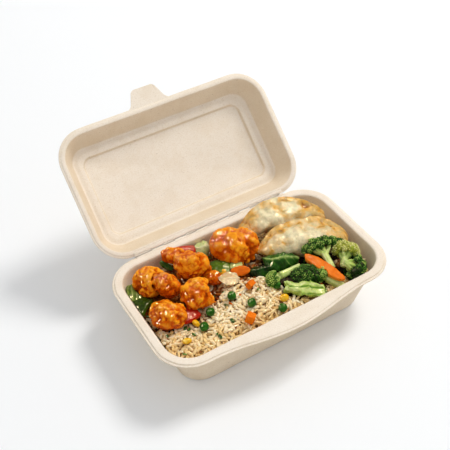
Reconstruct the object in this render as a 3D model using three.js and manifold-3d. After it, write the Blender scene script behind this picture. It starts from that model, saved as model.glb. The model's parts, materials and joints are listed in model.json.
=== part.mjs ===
// Boxed rice meal: an open hinged box of moulded fibre that holds fried rice, glazed
// chicken, two dumplings and mixed vegetables. Millimetres, +Z up. The origin lies on the
// resting surface under the middle of the tray. +X runs along the tray, and +Y points
// from its front flap to the hinge of the lid.

import * as THREE from 'three';
import { mergeVertices } from 'three/addons/utils/BufferGeometryUtils.js';
import Module from 'manifold-3d';

const wasm = await Module();
wasm.setup();

// ---------------------------------------------------------------- driving dimensions

const GAP = 0.45; // clearance between pieces that touch
const SMOOTHING = 0.2; // detail finer than this is smoothed away from a cut piece

const TRAY = {
  halfX: 125, halfY: 72.5, height: 55.5, rimRadius: 35,
  wall: 1.6, // thickness of the moulded fibre
  flange: 9, // width of the rim
  lip: 1.8, // width of the thin outer edge of the rim
  lipStep: 1.3, // how far that edge lies below the rim
  baseInsetX: 27, baseInsetY: 19.5, baseRadius: 21,
  foot: { z: 6, outset: 1.5 }, // where the inner wall leaves the floor's curve
  throat: { depth: 3, inset: 1.7 }, // where it meets the curve of the rim
};
const FLAP = { reach: 10, halfSpan: 86 }; // wider stretch of the front rim, under the tab
const LID = {
  halfX: 118, length: 137.5, rimRadius: 32.5, wall: 1.5, flange: 5.2, lip: 1.8,
  ledgeDepth: 22, // from the rim to the ledge inside
  panelDepth: 25.4, // from the rim to the middle panel
  wallInset: 15, // where the wall meets the ledge
  panelInset: 29,
  openAngle: 140, // how far the lid stands open
};
const TAB = { centreX: -8, baseWidth: 42, tipWidth: 25, reach: 18, flare: 5 };
const RICE = { bedLevel: 41, floorGap: 0.6, floorCurve: 6, wallGap: 0.6, grainRelief: 0.8 };
const PEA = { radius: 4.2, rise: 4.7 }; // rise: its middle above the rice
const KERNEL = { size: 9, rise: 4.3 };
const DICE = { size: [9.5, 7.5, 6.5], rise: 5.6 };

const FIBRE = { color: '#e6d8c4', roughness: 0.9 };

// ------------------------------------------------------------------- shape helpers

/** Repeatable random numbers from 0 to 1. */
function randomFrom(seed) {
  let state = seed >>> 0;
  return () => {
    state = (Math.imul(state, 1664525) + 1013904223) >>> 0;
    return state / 2 ** 32;
  };
}

/** A smooth hill of height 1 at distance 0, which fades with the given spread. */
const hill = (distance, spread) => Math.exp(-0.5 * (distance / spread) ** 2);

/** Closed mesh through rings of equal length, its two ends fanned to their middles. */
function loft(rings) {
  const count = rings[0].length;
  const points = rings.flat();
  const faces = [];
  for (let ring = 0; ring < rings.length - 1; ring += 1) {
    for (let i = 0; i < count; i += 1) {
      const a = ring * count + i;
      const b = ring * count + ((i + 1) % count);
      faces.push(a, b, a + count, b, b + count, a + count);
    }
  }
  const addEnd = (ring, facesBack) => {
    const middle = rings[ring].reduce((sum, p) => sum.clone().add(p)).divideScalar(count);
    const hub = points.push(middle) - 1;
    for (let i = 0; i < count; i += 1) {
      const a = ring * count + i;
      const b = ring * count + ((i + 1) % count);
      faces.push(hub, ...(facesBack ? [b, a] : [a, b]));
    }
  };
  addEnd(0, true);
  addEnd(rings.length - 1, false);
  const geometry = new THREE.BufferGeometry().setFromPoints(points);
  geometry.setIndex(faces);
  return geometry;
}

/**
 * A rounded rectangle seen from above, counter-clockwise from the front side.
 * Its front side is cut into frontSteps, so that it can be bent.
 */
function roundedRing(halfX, halfY, radius, z, { frontSteps = 1, cornerSteps }) {
  const spanX = halfX - radius;
  const spanY = halfY - radius;
  const ring = [];
  for (let i = 1; i < frontSteps; i += 1) {
    ring.push(new THREE.Vector3(-spanX + (2 * spanX * i) / frontSteps, -halfY, z));
  }
  const corners = [[spanX, -spanY], [spanX, spanY], [-spanX, spanY], [-spanX, -spanY]];
  corners.forEach(([x, y], corner) => {
    for (let step = 0; step <= cornerSteps; step += 1) {
      const angle = (Math.PI / 2) * (corner - 1 + step / cornerSteps);
      ring.push(new THREE.Vector3(
        x + radius * Math.cos(angle), y + radius * Math.sin(angle), z));
    }
  });
  return ring;
}

/** Geometry with shared corners merged, so that it holds positions only. */
function welded(geometry) {
  const bare = geometry.clone();
  bare.deleteAttribute('normal');
  bare.deleteAttribute('uv');
  return mergeVertices(bare, 1e-4);
}

/** The manifold solid of a closed geometry. */
function toSolid(geometry) {
  const bare = welded(geometry);
  return new wasm.Manifold(new wasm.Mesh({
    numProp: 3,
    vertProperties: new Float32Array(bare.attributes.position.array),
    triVerts: new Uint32Array(bare.index.array),
  }));
}

/** The geometry of a manifold solid. */
function toGeometry(solid) {
  const { vertProperties, triVerts } = solid.getMesh();
  const geometry = new THREE.BufferGeometry();
  geometry.setAttribute('position', new THREE.BufferAttribute(vertProperties, 3));
  geometry.setIndex(new THREE.BufferAttribute(triVerts, 1));
  return geometry;
}

/** Two geometries joined into one closed body. */
const joined = (a, b) => toGeometry(toSolid(a).add(toSolid(b)));

/** A copy of a closed geometry whose surface lies further out by the margin. */
function grown(geometry, margin) {
  const copy = welded(geometry);
  copy.computeVertexNormals();
  const { position, normal } = copy.attributes;
  for (let i = 0; i < position.count; i += 1) {
    position.setXYZ(i,
      position.getX(i) + margin * normal.getX(i),
      position.getY(i) + margin * normal.getY(i),
      position.getZ(i) + margin * normal.getZ(i));
  }
  return copy;
}

/** Moves every vertex by a function that changes a THREE.Vector3 in place. */
function reshape(geometry, change) {
  const shaped = welded(geometry);
  const { position } = shaped.attributes;
  const point = new THREE.Vector3();
  for (let i = 0; i < position.count; i += 1) {
    point.fromBufferAttribute(position, i);
    change(point);
    position.setXYZ(i, point.x, point.y, point.z);
  }
  return shaped;
}

function mesh(name, geometry, finish) {
  const node = new THREE.Mesh(geometry, new THREE.MeshStandardMaterial({
    roughness: 0.6, metalness: 0, flatShading: true, ...finish,
  }));
  node.name = name;
  return node;
}

// --------------------------------------------------------------------------- the box

/** How far the front flap reaches past the straight front rim at x. */
function flapReach(x) {
  const turn = Math.min(1, Math.abs(x) / FLAP.halfSpan);
  return FLAP.reach * Math.cos((Math.PI / 2) * turn) ** 2;
}

/** One ring of the tray: insets from the outer rim, corner radius, height, flap or not. */
function trayRing([insetX, insetY, radius, z], onFlap = false) {
  const ring = roundedRing(
    TRAY.halfX - insetX, TRAY.halfY - insetY, radius, z, { frontSteps: 12, cornerSteps: 5 });
  if (onFlap) {
    const front = -(TRAY.halfY - insetY) + 1e-3;
    ring.filter((point) => point.y < front).forEach((point) => {
      point.y -= flapReach(point.x);
    });
  }
  return ring;
}

/** The tray's wall inset from the outer rim at a height, on its inner face. */
function innerWall(z) {
  const { height, rimRadius, flange, baseRadius, baseInsetX, baseInsetY, foot, throat } = TRAY;
  const { clamp, lerp } = THREE.MathUtils;
  const rise = clamp((z - foot.z) / (height - throat.depth - foot.z), 0, 1);
  return {
    x: lerp(baseInsetX - foot.outset, flange + throat.inset, rise),
    y: lerp(baseInsetY - foot.outset, flange + throat.inset, rise),
    radius: lerp(baseRadius + 1, rimRadius - flange - 1, rise),
  };
}

/** Tray: flat base, drafted walls, a wide rim with a thin outer edge, and the flap. */
function makeTray() {
  const { height, rimRadius, wall, flange, lip, lipStep, baseRadius } = TRAY;
  const { baseInsetX, baseInsetY, foot, throat } = TRAY;
  const edge = height - lipStep;
  const innerRadius = rimRadius - flange;
  const outside = [
    [baseInsetX + 3, baseInsetY + 3, baseRadius - 2, 0],
    [baseInsetX - 1, baseInsetY - 1, baseRadius + 1, 1.3],
    [baseInsetX - 2.8, baseInsetY - 2.8, baseRadius + 2, 5],
    [flange + 0.2, flange + 0.2, innerRadius + 0.4, height - 4],
    [flange - 1.4, flange - 1.4, innerRadius + 1.6, height - wall],
  ].map((row) => trayRing(row));
  const rim = [
    [lip + 0.8, lip + 0.8, rimRadius - lip - 0.8, height - wall],
    [lip, lip, rimRadius - lip, edge - wall],
    [0, 0, rimRadius, edge - wall],
    [0, 0, rimRadius, edge],
    [lip, lip, rimRadius - lip, edge],
    [lip + 0.7, lip + 0.7, rimRadius - lip - 0.7, height],
  ].map((row) => trayRing(row, true));
  const bottom = innerWall(foot.z);
  const top = innerWall(height - throat.depth);
  const inside = [
    [flange - 0.7, flange - 0.7, innerRadius + 0.7, height],
    [flange + 0.8, flange + 0.8, innerRadius - 0.5, height - 0.7],
    [top.x, top.y, top.radius, height - throat.depth],
    [bottom.x, bottom.y, bottom.radius, foot.z],
    [bottom.x + 2.2, bottom.y + 2.2, bottom.radius - 1.5, wall + 1],
    [bottom.x + 5.5, bottom.y + 5.5, bottom.radius - 4, wall],
  ].map((row) => trayRing(row));
  return loft([...outside, ...rim, ...inside]);
}

/**
 * Lid, as it lies when shut: y runs from the hinge (0) to the free edge (-length), and
 * z from the tray's rim up to the raised middle panel.
 */
function makeLid() {
  const { halfX, length, rimRadius, wall, flange, lip, wallInset, panelInset } = LID;
  const { ledgeDepth, panelDepth } = LID;
  const halfY = (length - GAP) / 2;
  const ring = ([inset, z]) => roundedRing(
    halfX - inset, halfY - inset, Math.max(rimRadius - inset, 9), z, { cornerSteps: 5 });
  const rings = [
    // under side, from the panel out to the rim
    [panelInset, panelDepth],
    [panelInset - 1.3, panelDepth - 0.5],
    [panelInset - 2.6, ledgeDepth + 0.2],
    [(panelInset + wallInset) / 2, ledgeDepth - 0.6],
    [wallInset + 3, ledgeDepth],
    [wallInset + 1.1, ledgeDepth - 0.9],
    [wallInset, ledgeDepth - 3],
    [flange + 2, 2.6],
    [flange + 1, 1],
    [flange, GAP],
    [lip + 0.6, GAP],
    [lip, GAP + 0.9],
    [0, GAP + 1],
    // upper side, from the rim back to the panel
    [0, GAP + 2.3],
    [flange - 1, GAP + 2.1],
    [flange + 0.2, 3.6],
    [wallInset - 1.8, ledgeDepth - 1.8],
    [wallInset, ledgeDepth + 0.9],
    [wallInset + 2.6, ledgeDepth + wall],
    [panelInset - 4, ledgeDepth + wall],
    [panelInset - 2.8, panelDepth + wall - 0.5],
    [panelInset - 1.4, panelDepth + wall],
  ].map(ring);
  const shell = loft(rings).translate(0, -GAP - halfY, 0);
  return joined(shell, makeTab());
}

/** The lid's tab: a tapered tongue with flared roots and round corners. */
function makeTab() {
  const { centreX, baseWidth, tipWidth, reach, flare } = TAB;
  const half = baseWidth / 2;
  const tip = tipWidth / 2;
  const corner = 3;
  const root = -LID.length + LID.lip;
  const end = -LID.length - reach;
  const outline = new THREE.Shape();
  outline.moveTo(-half - flare, root);
  outline.quadraticCurveTo(-half, root - LID.lip, -half + 1, root - LID.lip - flare);
  outline.lineTo(-tip - 1, end + corner);
  outline.quadraticCurveTo(-tip, end, -tip + corner, end);
  outline.lineTo(tip - corner, end);
  outline.quadraticCurveTo(tip, end, tip + 1, end + corner);
  outline.lineTo(half - 1, root - LID.lip - flare);
  outline.quadraticCurveTo(half, root - LID.lip, half + flare, root);
  const tab = new THREE.ExtrudeGeometry(
    outline, { depth: LID.wall - 0.4, bevelEnabled: false, curveSegments: 3 });
  return tab.translate(centreX, 0, GAP + 1.1);
}

// ------------------------------------------------------------------- kinds of food

/** A lumpy ball: an ellipsoid with round lumps pushed out of it. */
function lumpyBall({ radii, lumps = 8, lumpHeight = 0.2, spread = 0.5, detail = 2, seed }) {
  const random = randomFrom(seed);
  const centres = Array.from({ length: lumps }, () => new THREE.Vector3(
    random() * 2 - 1, random() * 2 - 1, random() * 1.6 - 0.6).normalize());
  const heights = centres.map(() => lumpHeight * (0.5 + random()));
  return reshape(new THREE.IcosahedronGeometry(1, detail), (point) => {
    const swell = centres.reduce(
      (sum, centre, i) => sum + heights[i] * hill(point.distanceTo(centre), spread),
      1 - lumpHeight);
    point.multiplyScalar(swell).multiply(new THREE.Vector3(...radii));
  });
}

/** A floret: a lumpy crown at the origin and a tapered stem that leaves it along -x. */
function floret({ radii, stem, stemRadius, detail = 2, seed }) {
  const crown = lumpyBall({
    radii, lumps: 14, lumpHeight: 0.22, spread: 0.28, detail, seed,
  });
  const rod = new THREE.CylinderGeometry(stemRadius * 1.5, stemRadius, stem, 6);
  rod.rotateZ(-Math.PI / 2).translate(-stem / 2, 0, 0);
  return joined(crown, rod);
}

/** A half-moon dumpling that lies on its side, its crimped edge towards +y. */
function dumpling({ length, width, height, crimp, bend, lean, seed }) {
  const random = randomFrom(seed);
  const stations = 13;
  const around = 12;
  const wobble = Array.from({ length: stations }, () => 0.94 + 0.12 * random());
  const rings = [];
  for (let i = 0; i < stations; i += 1) {
    const u = -0.97 + (1.94 * i) / (stations - 1);
    const fullness = (1 - u * u) ** 0.62 * (1 + lean * u) * wobble[i];
    const pleat = 1 + 0.16 * Math.cos(i * Math.PI);
    const ring = [];
    for (let j = 0; j < around; j += 1) {
      const angle = (2 * Math.PI * j) / around;
      const side = Math.cos(angle);
      const rise = Math.sin(angle);
      const edge = crimp * pleat * Math.max(0, side) ** 6 * Math.sqrt(fullness);
      const y = (width / 2) * fullness * side + edge + bend * (0.5 - u * u);
      const z = (height / 2) * fullness * Math.max(rise * (1 - 0.35 * side), -0.8);
      ring.push(new THREE.Vector3((length / 2) * u, y, z));
    }
    rings.push(ring);
  }
  return loft(rings);
}

/** A flat piece, curved across and along, such as a slice of pepper or a leaf. */
function curvedPiece({ size, bow = 0, cross = 0, taper = 0 }) {
  const [sizeX, sizeY, thick] = size;
  const box = new THREE.BoxGeometry(sizeX, sizeY, thick, 3, 2, 1);
  return reshape(box, (point) => {
    const along = (2 * point.x) / sizeX;
    const across = (2 * point.y) / sizeY;
    point.y *= 1 - taper * along ** 2;
    point.z -= bow * along ** 2 + cross * across ** 2;
  });
}

/** An oval slice with square-cut edges, such as a cut of carrot. */
function ovalSlice([sizeX, sizeY, thick]) {
  const disc = new THREE.CylinderGeometry(1, 0.94, thick, 12).rotateX(Math.PI / 2);
  return disc.scale(sizeX / 2, sizeY / 2, 1);
}

/** A corn kernel: a blunt wedge, broad at its top. */
function kernel(size) {
  return reshape(new THREE.IcosahedronGeometry(size / 2, 1), (point) => {
    point.y *= 0.85 + 0.2 * (point.x / size);
    point.z *= 0.7;
  });
}

// ------------------------------------------------------------------------- the food

const GLAZE = { color: '#d2600f', roughness: 0.25 };
const DOUGH = { color: '#dcb57c', roughness: 0.45 };
const GREEN = { color: '#3f7a1f', roughness: 0.6 };
const PALE_GREEN = { color: '#b6bf62', roughness: 0.6 };
const CARROT = { color: '#e8731a', roughness: 0.5 };
const RED_PEPPER = { color: '#c4200c', roughness: 0.35 };
const GREEN_PEPPER = { color: '#557f16', roughness: 0.35 };
const CORN = { color: '#f0bd35', roughness: 0.4 };
const RICE_FINISH = { color: '#dcc190', roughness: 0.7 };

/**
 * Every piece that lies on the rice: name, geometry, finish, place and turn in degrees
 * about x, y and z. An earlier piece keeps its shape where two touch.
 */
function listFood() {
  const chicken = [
    { at: [-2, 30, 59], radii: [26, 18, 15], turn: [0, 6, -30], seed: 7, detail: 3 },
    { at: [-44.5, 29.5, 59], radii: [17, 15, 14], turn: [0, 5, -28], seed: 12 },
    { at: [-60, -3.5, 57.5], radii: [16, 15.5, 14], turn: [0, 0, -45], seed: 23 },
    { at: [-96.8, -2.5, 53.6], radii: [16.4, 15, 12.3], turn: [0, 0, -24], seed: 31 },
    { at: [-77.5, 18.5, 58], radii: [12, 13.5, 14], turn: [0, 0, 20], seed: 44 },
    { at: [-90, 38, 56], radii: [16, 17, 16], turn: [0, -6, 0], seed: 58 },
    { at: [-56.5, 51.5, 57.5], radii: [12, 9, 8.5], turn: [0, 0, -25], seed: 63 },
    { at: [-37, 7, 55], radii: [6.5, 8, 7.5], turn: [0, 0, 0], seed: 71 },
  ];
  const dumplings = [
    {
      at: [62.5, 2.5, 54.5], turn: [24, 0, -20],
      shape: { length: 94, width: 35, height: 27, crimp: 7, bend: 8, lean: 0.1, seed: 5 },
    },
    {
      at: [59.5, 34.9, 59.7], turn: [37, -3, -16],
      shape: { length: 96, width: 27, height: 21, crimp: 5, bend: 12, lean: -0.06, seed: 9 },
    },
  ];
  const florets = [
    { at: [65, -14, 59], radii: [10, 20, 10], stem: 26, stemRadius: 3, turn: [0, 20, 80] },
    { at: [89.5, -31.5, 57], radii: [9, 14, 11], stem: 18, stemRadius: 3, turn: [0, 30, 60] },
    { at: [87.5, -47.5, 49.5], radii: [11, 14, 12], stem: 14, stemRadius: 3, turn: [0, 70, 60] },
    { at: [40, -34, 54], radii: [9, 14, 10], stem: 14, stemRadius: 3, turn: [0, 60, 60] },
    { at: [12, -21, 53], radii: [8, 8, 8], stem: 29, stemRadius: 3.2, turn: [0, -10, 178] },
    { at: [55, -38.5, 51], radii: [8, 8.5, 8], stem: 24, stemRadius: 3.6, turn: [0, -12, 117] },
  ];
  const slices = [
    ['carrot_slice_1', [58.5, -38, 57], [2, 11, -67], CARROT, ovalSlice([46, 12, 4])],
    ['carrot_slice_2', [-10.5, 2.8, 55], [30, 0, -25], CARROT, ovalSlice([19, 9, 5])],
    ['broccoli_stem', [29, -46.6, 54], [10, 3, -38], PALE_GREEN,
      curvedPiece({ size: [38, 15, 6], bow: 1.5, cross: 1, taper: 0.2 })],
    ['leaf_1', [29.8, -6.4, 57.8], [15, 0, -33], GREEN,
      curvedPiece({ size: [36, 22, 3], bow: 4, cross: 3, taper: 0.5 })],
    ['leaf_2', [8, -5.5, 54], [10, 0, -25], GREEN,
      curvedPiece({ size: [25, 15, 4], bow: 3, cross: 2, taper: 0.4 })],
    ['green_bean', [92.5, -20.8, 60], [0, 20, -48], GREEN, ovalSlice([13, 4, 3.6])],
    ['red_pepper_1', [-44, 53.5, 57.5], [15, 0, -24], RED_PEPPER,
      curvedPiece({ size: [24, 9, 4], bow: 1.5, cross: 1 })],
    ['red_pepper_2', [-77, -15.5, 53.5], [5, 8, 10], RED_PEPPER,
      curvedPiece({ size: [17, 15, 4], bow: 1.2, cross: 1, taper: 0.1 })],
    ['green_pepper_1', [-24, 18, 55], [5, 0, -35], GREEN_PEPPER,
      curvedPiece({ size: [19, 14, 4], bow: 1.5, cross: 1, taper: 0.1 })],
    ['green_pepper_2', [-107.5, 36, 52], [-10, 0, 65], GREEN_PEPPER,
      curvedPiece({ size: [21, 15, 4], bow: 2, cross: 1 })],
    ['green_pepper_3', [-109.5, 19, 52], [-10, 0, 35], GREEN_PEPPER,
      curvedPiece({ size: [18, 16, 4], bow: 1.5, cross: 1 })],
    ['pale_pepper', [-10.5, 12, 55], [0, 0, -28], PALE_GREEN,
      curvedPiece({ size: [15, 8, 3], bow: 1, cross: 1 })],
    ['cabbage', [-25, 52, 53], [10, 0, -30], PALE_GREEN,
      curvedPiece({ size: [15, 19, 3], bow: 2, cross: 1 })],
    ['scallion', [-66, 48, 53], [0, 30, -60], GREEN, ovalSlice([14, 5, 4])],
    ['egg_slice', [-26, -1.5, 58], [0, 6, -30], { color: '#e6cf9f' },
      curvedPiece({ size: [22, 17, 2.5], bow: 1, cross: 0.6, taper: 0.2 })],
  ];
  const peas = [[-34.5, -21], [-22.5, -36.5], [-0.8, -55], [-73.5, -36.5], [12, -27.5], [-59, -23]];
  const corn = [[-24, 11], [7.5, -45], [-76, -26], [-94.5, -42]];
  const dice = [[-13.5, -20], [-33.3, -50.5]];
  const onRice = ([x, y], rise) => [x, y, riceLevel(x, y) + rise];
  return [
    ...dumplings.map(({ at, turn, shape }, i) => (
      { name: `dumpling_${i + 1}`, at, turn, finish: DOUGH, geometry: dumpling(shape) })),
    ...chicken.map(({ at, turn, ...shape }, i) => (
      { name: `chicken_${i + 1}`, at, turn, finish: GLAZE, geometry: lumpyBall(shape) })),
    ...florets.map(({ at, turn, ...shape }, i) => ({
      name: `broccoli_${i + 1}`, at, turn, finish: GREEN,
      geometry: floret({ ...shape, seed: 100 + i }),
    })),
    ...slices.map(([name, at, turn, finish, geometry]) => (
      { name, at, turn, finish, geometry })),
    ...peas.map((spot, i) => ({
      name: `pea_${i + 1}`, at: onRice(spot, PEA.rise), turn: [0, 0, 0], finish: GREEN,
      geometry: new THREE.IcosahedronGeometry(PEA.radius, 1),
    })),
    ...corn.map((spot, i) => ({
      name: `corn_${i + 1}`, at: onRice(spot, KERNEL.rise), turn: [0, 0, 40 * i],
      finish: CORN, geometry: kernel(KERNEL.size),
    })),
    ...dice.map((spot, i) => ({
      name: `carrot_dice_${i + 1}`, at: onRice(spot, DICE.rise), turn: [18, 24, 30 * i + 20],
      finish: CARROT, geometry: new THREE.BoxGeometry(...DICE.size),
    })),
  ];
}

/** The rice's surface: a bed under the toppings, heaped where nothing covers it. */
function riceLevel(x, y) {
  const mounds = [
    { x: -20, y: -15, spreadX: 27, spreadY: 17, height: 13.5 },
    { x: -86, y: -44, spreadX: 26, spreadY: 13, height: 8.5 },
    { x: -8, y: -52, spreadX: 46, spreadY: 13, height: 7 },
  ];
  return mounds.reduce((level, mound) => {
    const share = hill(x - mound.x, mound.spreadX) * hill(y - mound.y, mound.spreadY);
    return level + mound.height * share;
  }, RICE.bedLevel);
}

/** Rice: fills the tray from its floor, and its top is the uneven heap. */
function makeRice() {
  const random = randomFrom(17);
  const options = { frontSteps: 7, cornerSteps: 3 };
  const { floorGap, floorCurve, wallGap, grainRelief } = RICE;
  const atWall = (z, extra = 0) => {
    const inset = innerWall(z);
    return roundedRing(
      TRAY.halfX - inset.x - wallGap - extra, TRAY.halfY - inset.y - wallGap - extra,
      inset.radius - wallGap, z, options);
  };
  const edge = atWall(RICE.bedLevel).map((point) => {
    const z = riceLevel(point.x, point.y) - 1;
    const inset = innerWall(z);
    const reach = (TRAY.halfX - inset.x - wallGap)
      / (TRAY.halfX - innerWall(RICE.bedLevel).x - wallGap);
    return new THREE.Vector3(point.x * reach, point.y * reach, z);
  });
  const shares = [0.9, 0.77, 0.63, 0.49, 0.35, 0.2];
  const top = shares.map((share) => edge.map((point) => {
    const x = point.x * share;
    const y = point.y * share;
    return new THREE.Vector3(x, y, riceLevel(x, y) + grainRelief * (random() - 0.5));
  }));
  const floor = atWall(TRAY.wall + floorGap, floorCurve);
  return loft([floor, atWall(TRAY.foot.z + 1), atWall(TRAY.height / 2), edge, ...top]);
}

// ------------------------------------------------------------------------- assembly

/** Cuts a mesh by its neighbours, which keep the gap all round, and keeps the main part. */
function cutBy(node, neighbours) {
  const ownBox = new THREE.Box3().setFromObject(node, true);
  const toOwn = node.matrixWorld.clone().invert();
  let solid = toSolid(node.geometry);
  for (const neighbour of neighbours) {
    const box = new THREE.Box3().setFromObject(neighbour.node, true).expandByScalar(GAP);
    if (box.intersectsBox(ownBox)) {
      const cutter = grown(neighbour.whole, GAP).applyMatrix4(neighbour.node.matrixWorld);
      solid = solid.subtract(toSolid(cutter.applyMatrix4(toOwn)));
    }
  }
  const parts = solid.decompose().sort((a, b) => b.volume() - a.volume());
  node.geometry = toGeometry(parts[0].simplify(SMOOTHING));
}

const meal = new THREE.Group();
const tray = mesh('tray', makeTray(), FIBRE);
meal.add(tray);

const swing = new THREE.Group();
swing.position.set(0, TRAY.halfY, TRAY.height);
swing.rotation.x = -THREE.MathUtils.degToRad(LID.openAngle);
swing.add(mesh('lid', makeLid(), FIBRE));
meal.add(swing);

const placed = [{ node: tray, whole: tray.geometry }];
for (const { name, geometry, finish, at, turn } of listFood()) {
  const node = mesh(name, geometry, finish);
  node.position.set(...at);
  node.rotation.set(...turn.map(THREE.MathUtils.degToRad), 'ZYX');
  meal.add(node);
  node.updateMatrixWorld(true);
  cutBy(node, placed);
  placed.push({ node, whole: geometry });
}

const rice = mesh('rice', makeRice(), RICE_FINISH);
meal.add(rice);
rice.updateMatrixWorld(true);
cutBy(rice, placed);

export default meal;
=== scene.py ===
"""Looks of the boxed rice meal: an open moulded-fibre box, fried rice and its toppings.

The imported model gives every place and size. Shapes are built in millimetres in the frame's
own axes (+X along the box, +Y towards the hinge, +Z up) and become metres as objects.
"""

import functools
import json
import logging
import math
from dataclasses import dataclass, field
from enum import Enum
from itertools import product

import bmesh
import bpy
import numpy as np
from mathutils import Euler, Matrix, Vector
from mathutils.bvhtree import BVHTree


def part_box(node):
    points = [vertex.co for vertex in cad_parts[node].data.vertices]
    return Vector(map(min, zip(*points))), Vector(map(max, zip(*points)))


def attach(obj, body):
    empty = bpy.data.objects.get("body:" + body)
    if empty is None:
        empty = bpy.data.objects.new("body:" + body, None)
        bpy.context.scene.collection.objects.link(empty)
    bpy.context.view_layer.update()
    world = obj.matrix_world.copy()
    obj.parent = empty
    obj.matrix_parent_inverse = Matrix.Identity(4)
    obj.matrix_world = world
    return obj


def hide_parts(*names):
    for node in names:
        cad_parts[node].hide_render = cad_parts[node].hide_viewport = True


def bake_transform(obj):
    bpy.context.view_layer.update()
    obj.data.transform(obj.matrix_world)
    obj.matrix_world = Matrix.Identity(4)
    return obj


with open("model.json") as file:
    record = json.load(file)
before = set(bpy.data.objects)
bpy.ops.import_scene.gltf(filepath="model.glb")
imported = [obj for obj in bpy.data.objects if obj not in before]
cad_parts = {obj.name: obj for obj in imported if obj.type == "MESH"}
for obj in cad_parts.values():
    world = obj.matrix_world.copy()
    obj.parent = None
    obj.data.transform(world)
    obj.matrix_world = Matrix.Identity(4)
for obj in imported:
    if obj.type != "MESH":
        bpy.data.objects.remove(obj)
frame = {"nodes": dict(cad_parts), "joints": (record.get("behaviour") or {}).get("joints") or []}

LOG = logging.getLogger("meal")
MM = 0.001
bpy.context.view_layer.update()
Array = np.ndarray
Rng = np.random.Generator
Pair = tuple[float, float]
Triple = tuple[float, float, float]
Colour = tuple[float, float, float, float]

# Points on the long and on the short sides of a ring round the box, and in its corners.
SIDE_POINTS = (29, 15)
CORNER_POINTS = 12

# Roughness of a wet film, and how far red, green and blue light spread in food.
FILM_ROUGHNESS = 0.05
FLESH_SPREAD = (1.0, 0.45, 0.2)


class Body(Enum):
    """The two rigid bodies of the box."""

    TRAY = "tray"
    LID = "lid"


# ---- noise


class Noise:
    """Repeatable patterns in space, for shapes and for painted values."""

    def __init__(self, seed: int) -> None:
        """Fills the tables of slopes and offsets.

        Args:
            seed: number that the pattern follows from.
        """
        rng = np.random.default_rng(seed)
        self.order = rng.permutation(256)
        self.slopes = unit(rng.normal(size=(256, 3)))
        self.offsets = rng.uniform(-0.42, 0.42, size=(256, 3))

    def _key(self, cell: Array) -> Array:
        """The table row of each cell of the grid.

        Args:
            cell: whole numbers, one row of three for each cell.

        Returns:
            Rows from 0 to 255.
        """
        at = cell & 255
        first = self.order[at[:, 0]]
        second = self.order[(first + at[:, 1]) & 255]
        return self.order[(second + at[:, 2]) & 255]

    def smooth(self, points: Array, size: float, layers: int = 1) -> Array:
        """Cloudy values from about -1 to 1.

        Args:
            points: places, one row each.
            size: width of the largest clouds.
            layers: how many finer layers are summed.

        Returns:
            One value for each point.
        """
        total = np.zeros(len(points))
        for layer in range(layers):
            scaled = points / (size / 2**layer) + 17.3 * layer
            cell = np.floor(scaled).astype(int)
            inside = scaled - cell
            fade = inside**3 * (inside * (inside * 6 - 15) + 10)
            for corner in product((0, 1), repeat=3):
                slope = self.slopes[self._key(cell + corner)]
                share = np.prod(np.where(corner, fade, 1 - fade), axis=1)
                total += share * np.sum(slope * (inside - corner), axis=1) * 1.7 / 2**layer
        return total

    def drift(self, points: Array, step: float, size: float) -> Array:
        """Cloudy shifts along x, y and z, read at places that lie a step apart."""
        return np.column_stack([self.smooth(points + k * step, size, 2) for k in range(3)])

    def domes(self, points: Array, size: float, crease: float = 7.0) -> Array:
        """Rounded lumps, about 1 on their tops and 0 in the creases between them.

        Args:
            points: places, one row each.
            size: distance between lumps.
            crease: how sharp the creases are.

        Returns:
            One value for each point.
        """
        scaled = points / size
        cell = np.floor(scaled).astype(int)
        total = np.zeros(len(points))
        for step in product((-1, 0, 1), repeat=3):
            middle = cell + step
            middle = middle + 0.5 + self.offsets[self._key(middle)]
            total += np.exp(-crease * np.sum((scaled - middle) ** 2, axis=1))
        return np.clip(1 + np.log(total + 1e-9) / crease * 1.7, 0, 1)


def ramp(value: Array, start: float, end: float) -> Array:
    """Rises smoothly from 0 at start to 1 at end."""
    t = np.clip((value - start) / (end - start), 0, 1)
    return t * t * (3 - 2 * t)


def unit(vectors: Array) -> Array:
    """The vectors, one in each row, with their lengths made 1."""
    return vectors / np.linalg.norm(vectors, axis=-1, keepdims=True)


# ---- forms


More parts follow.
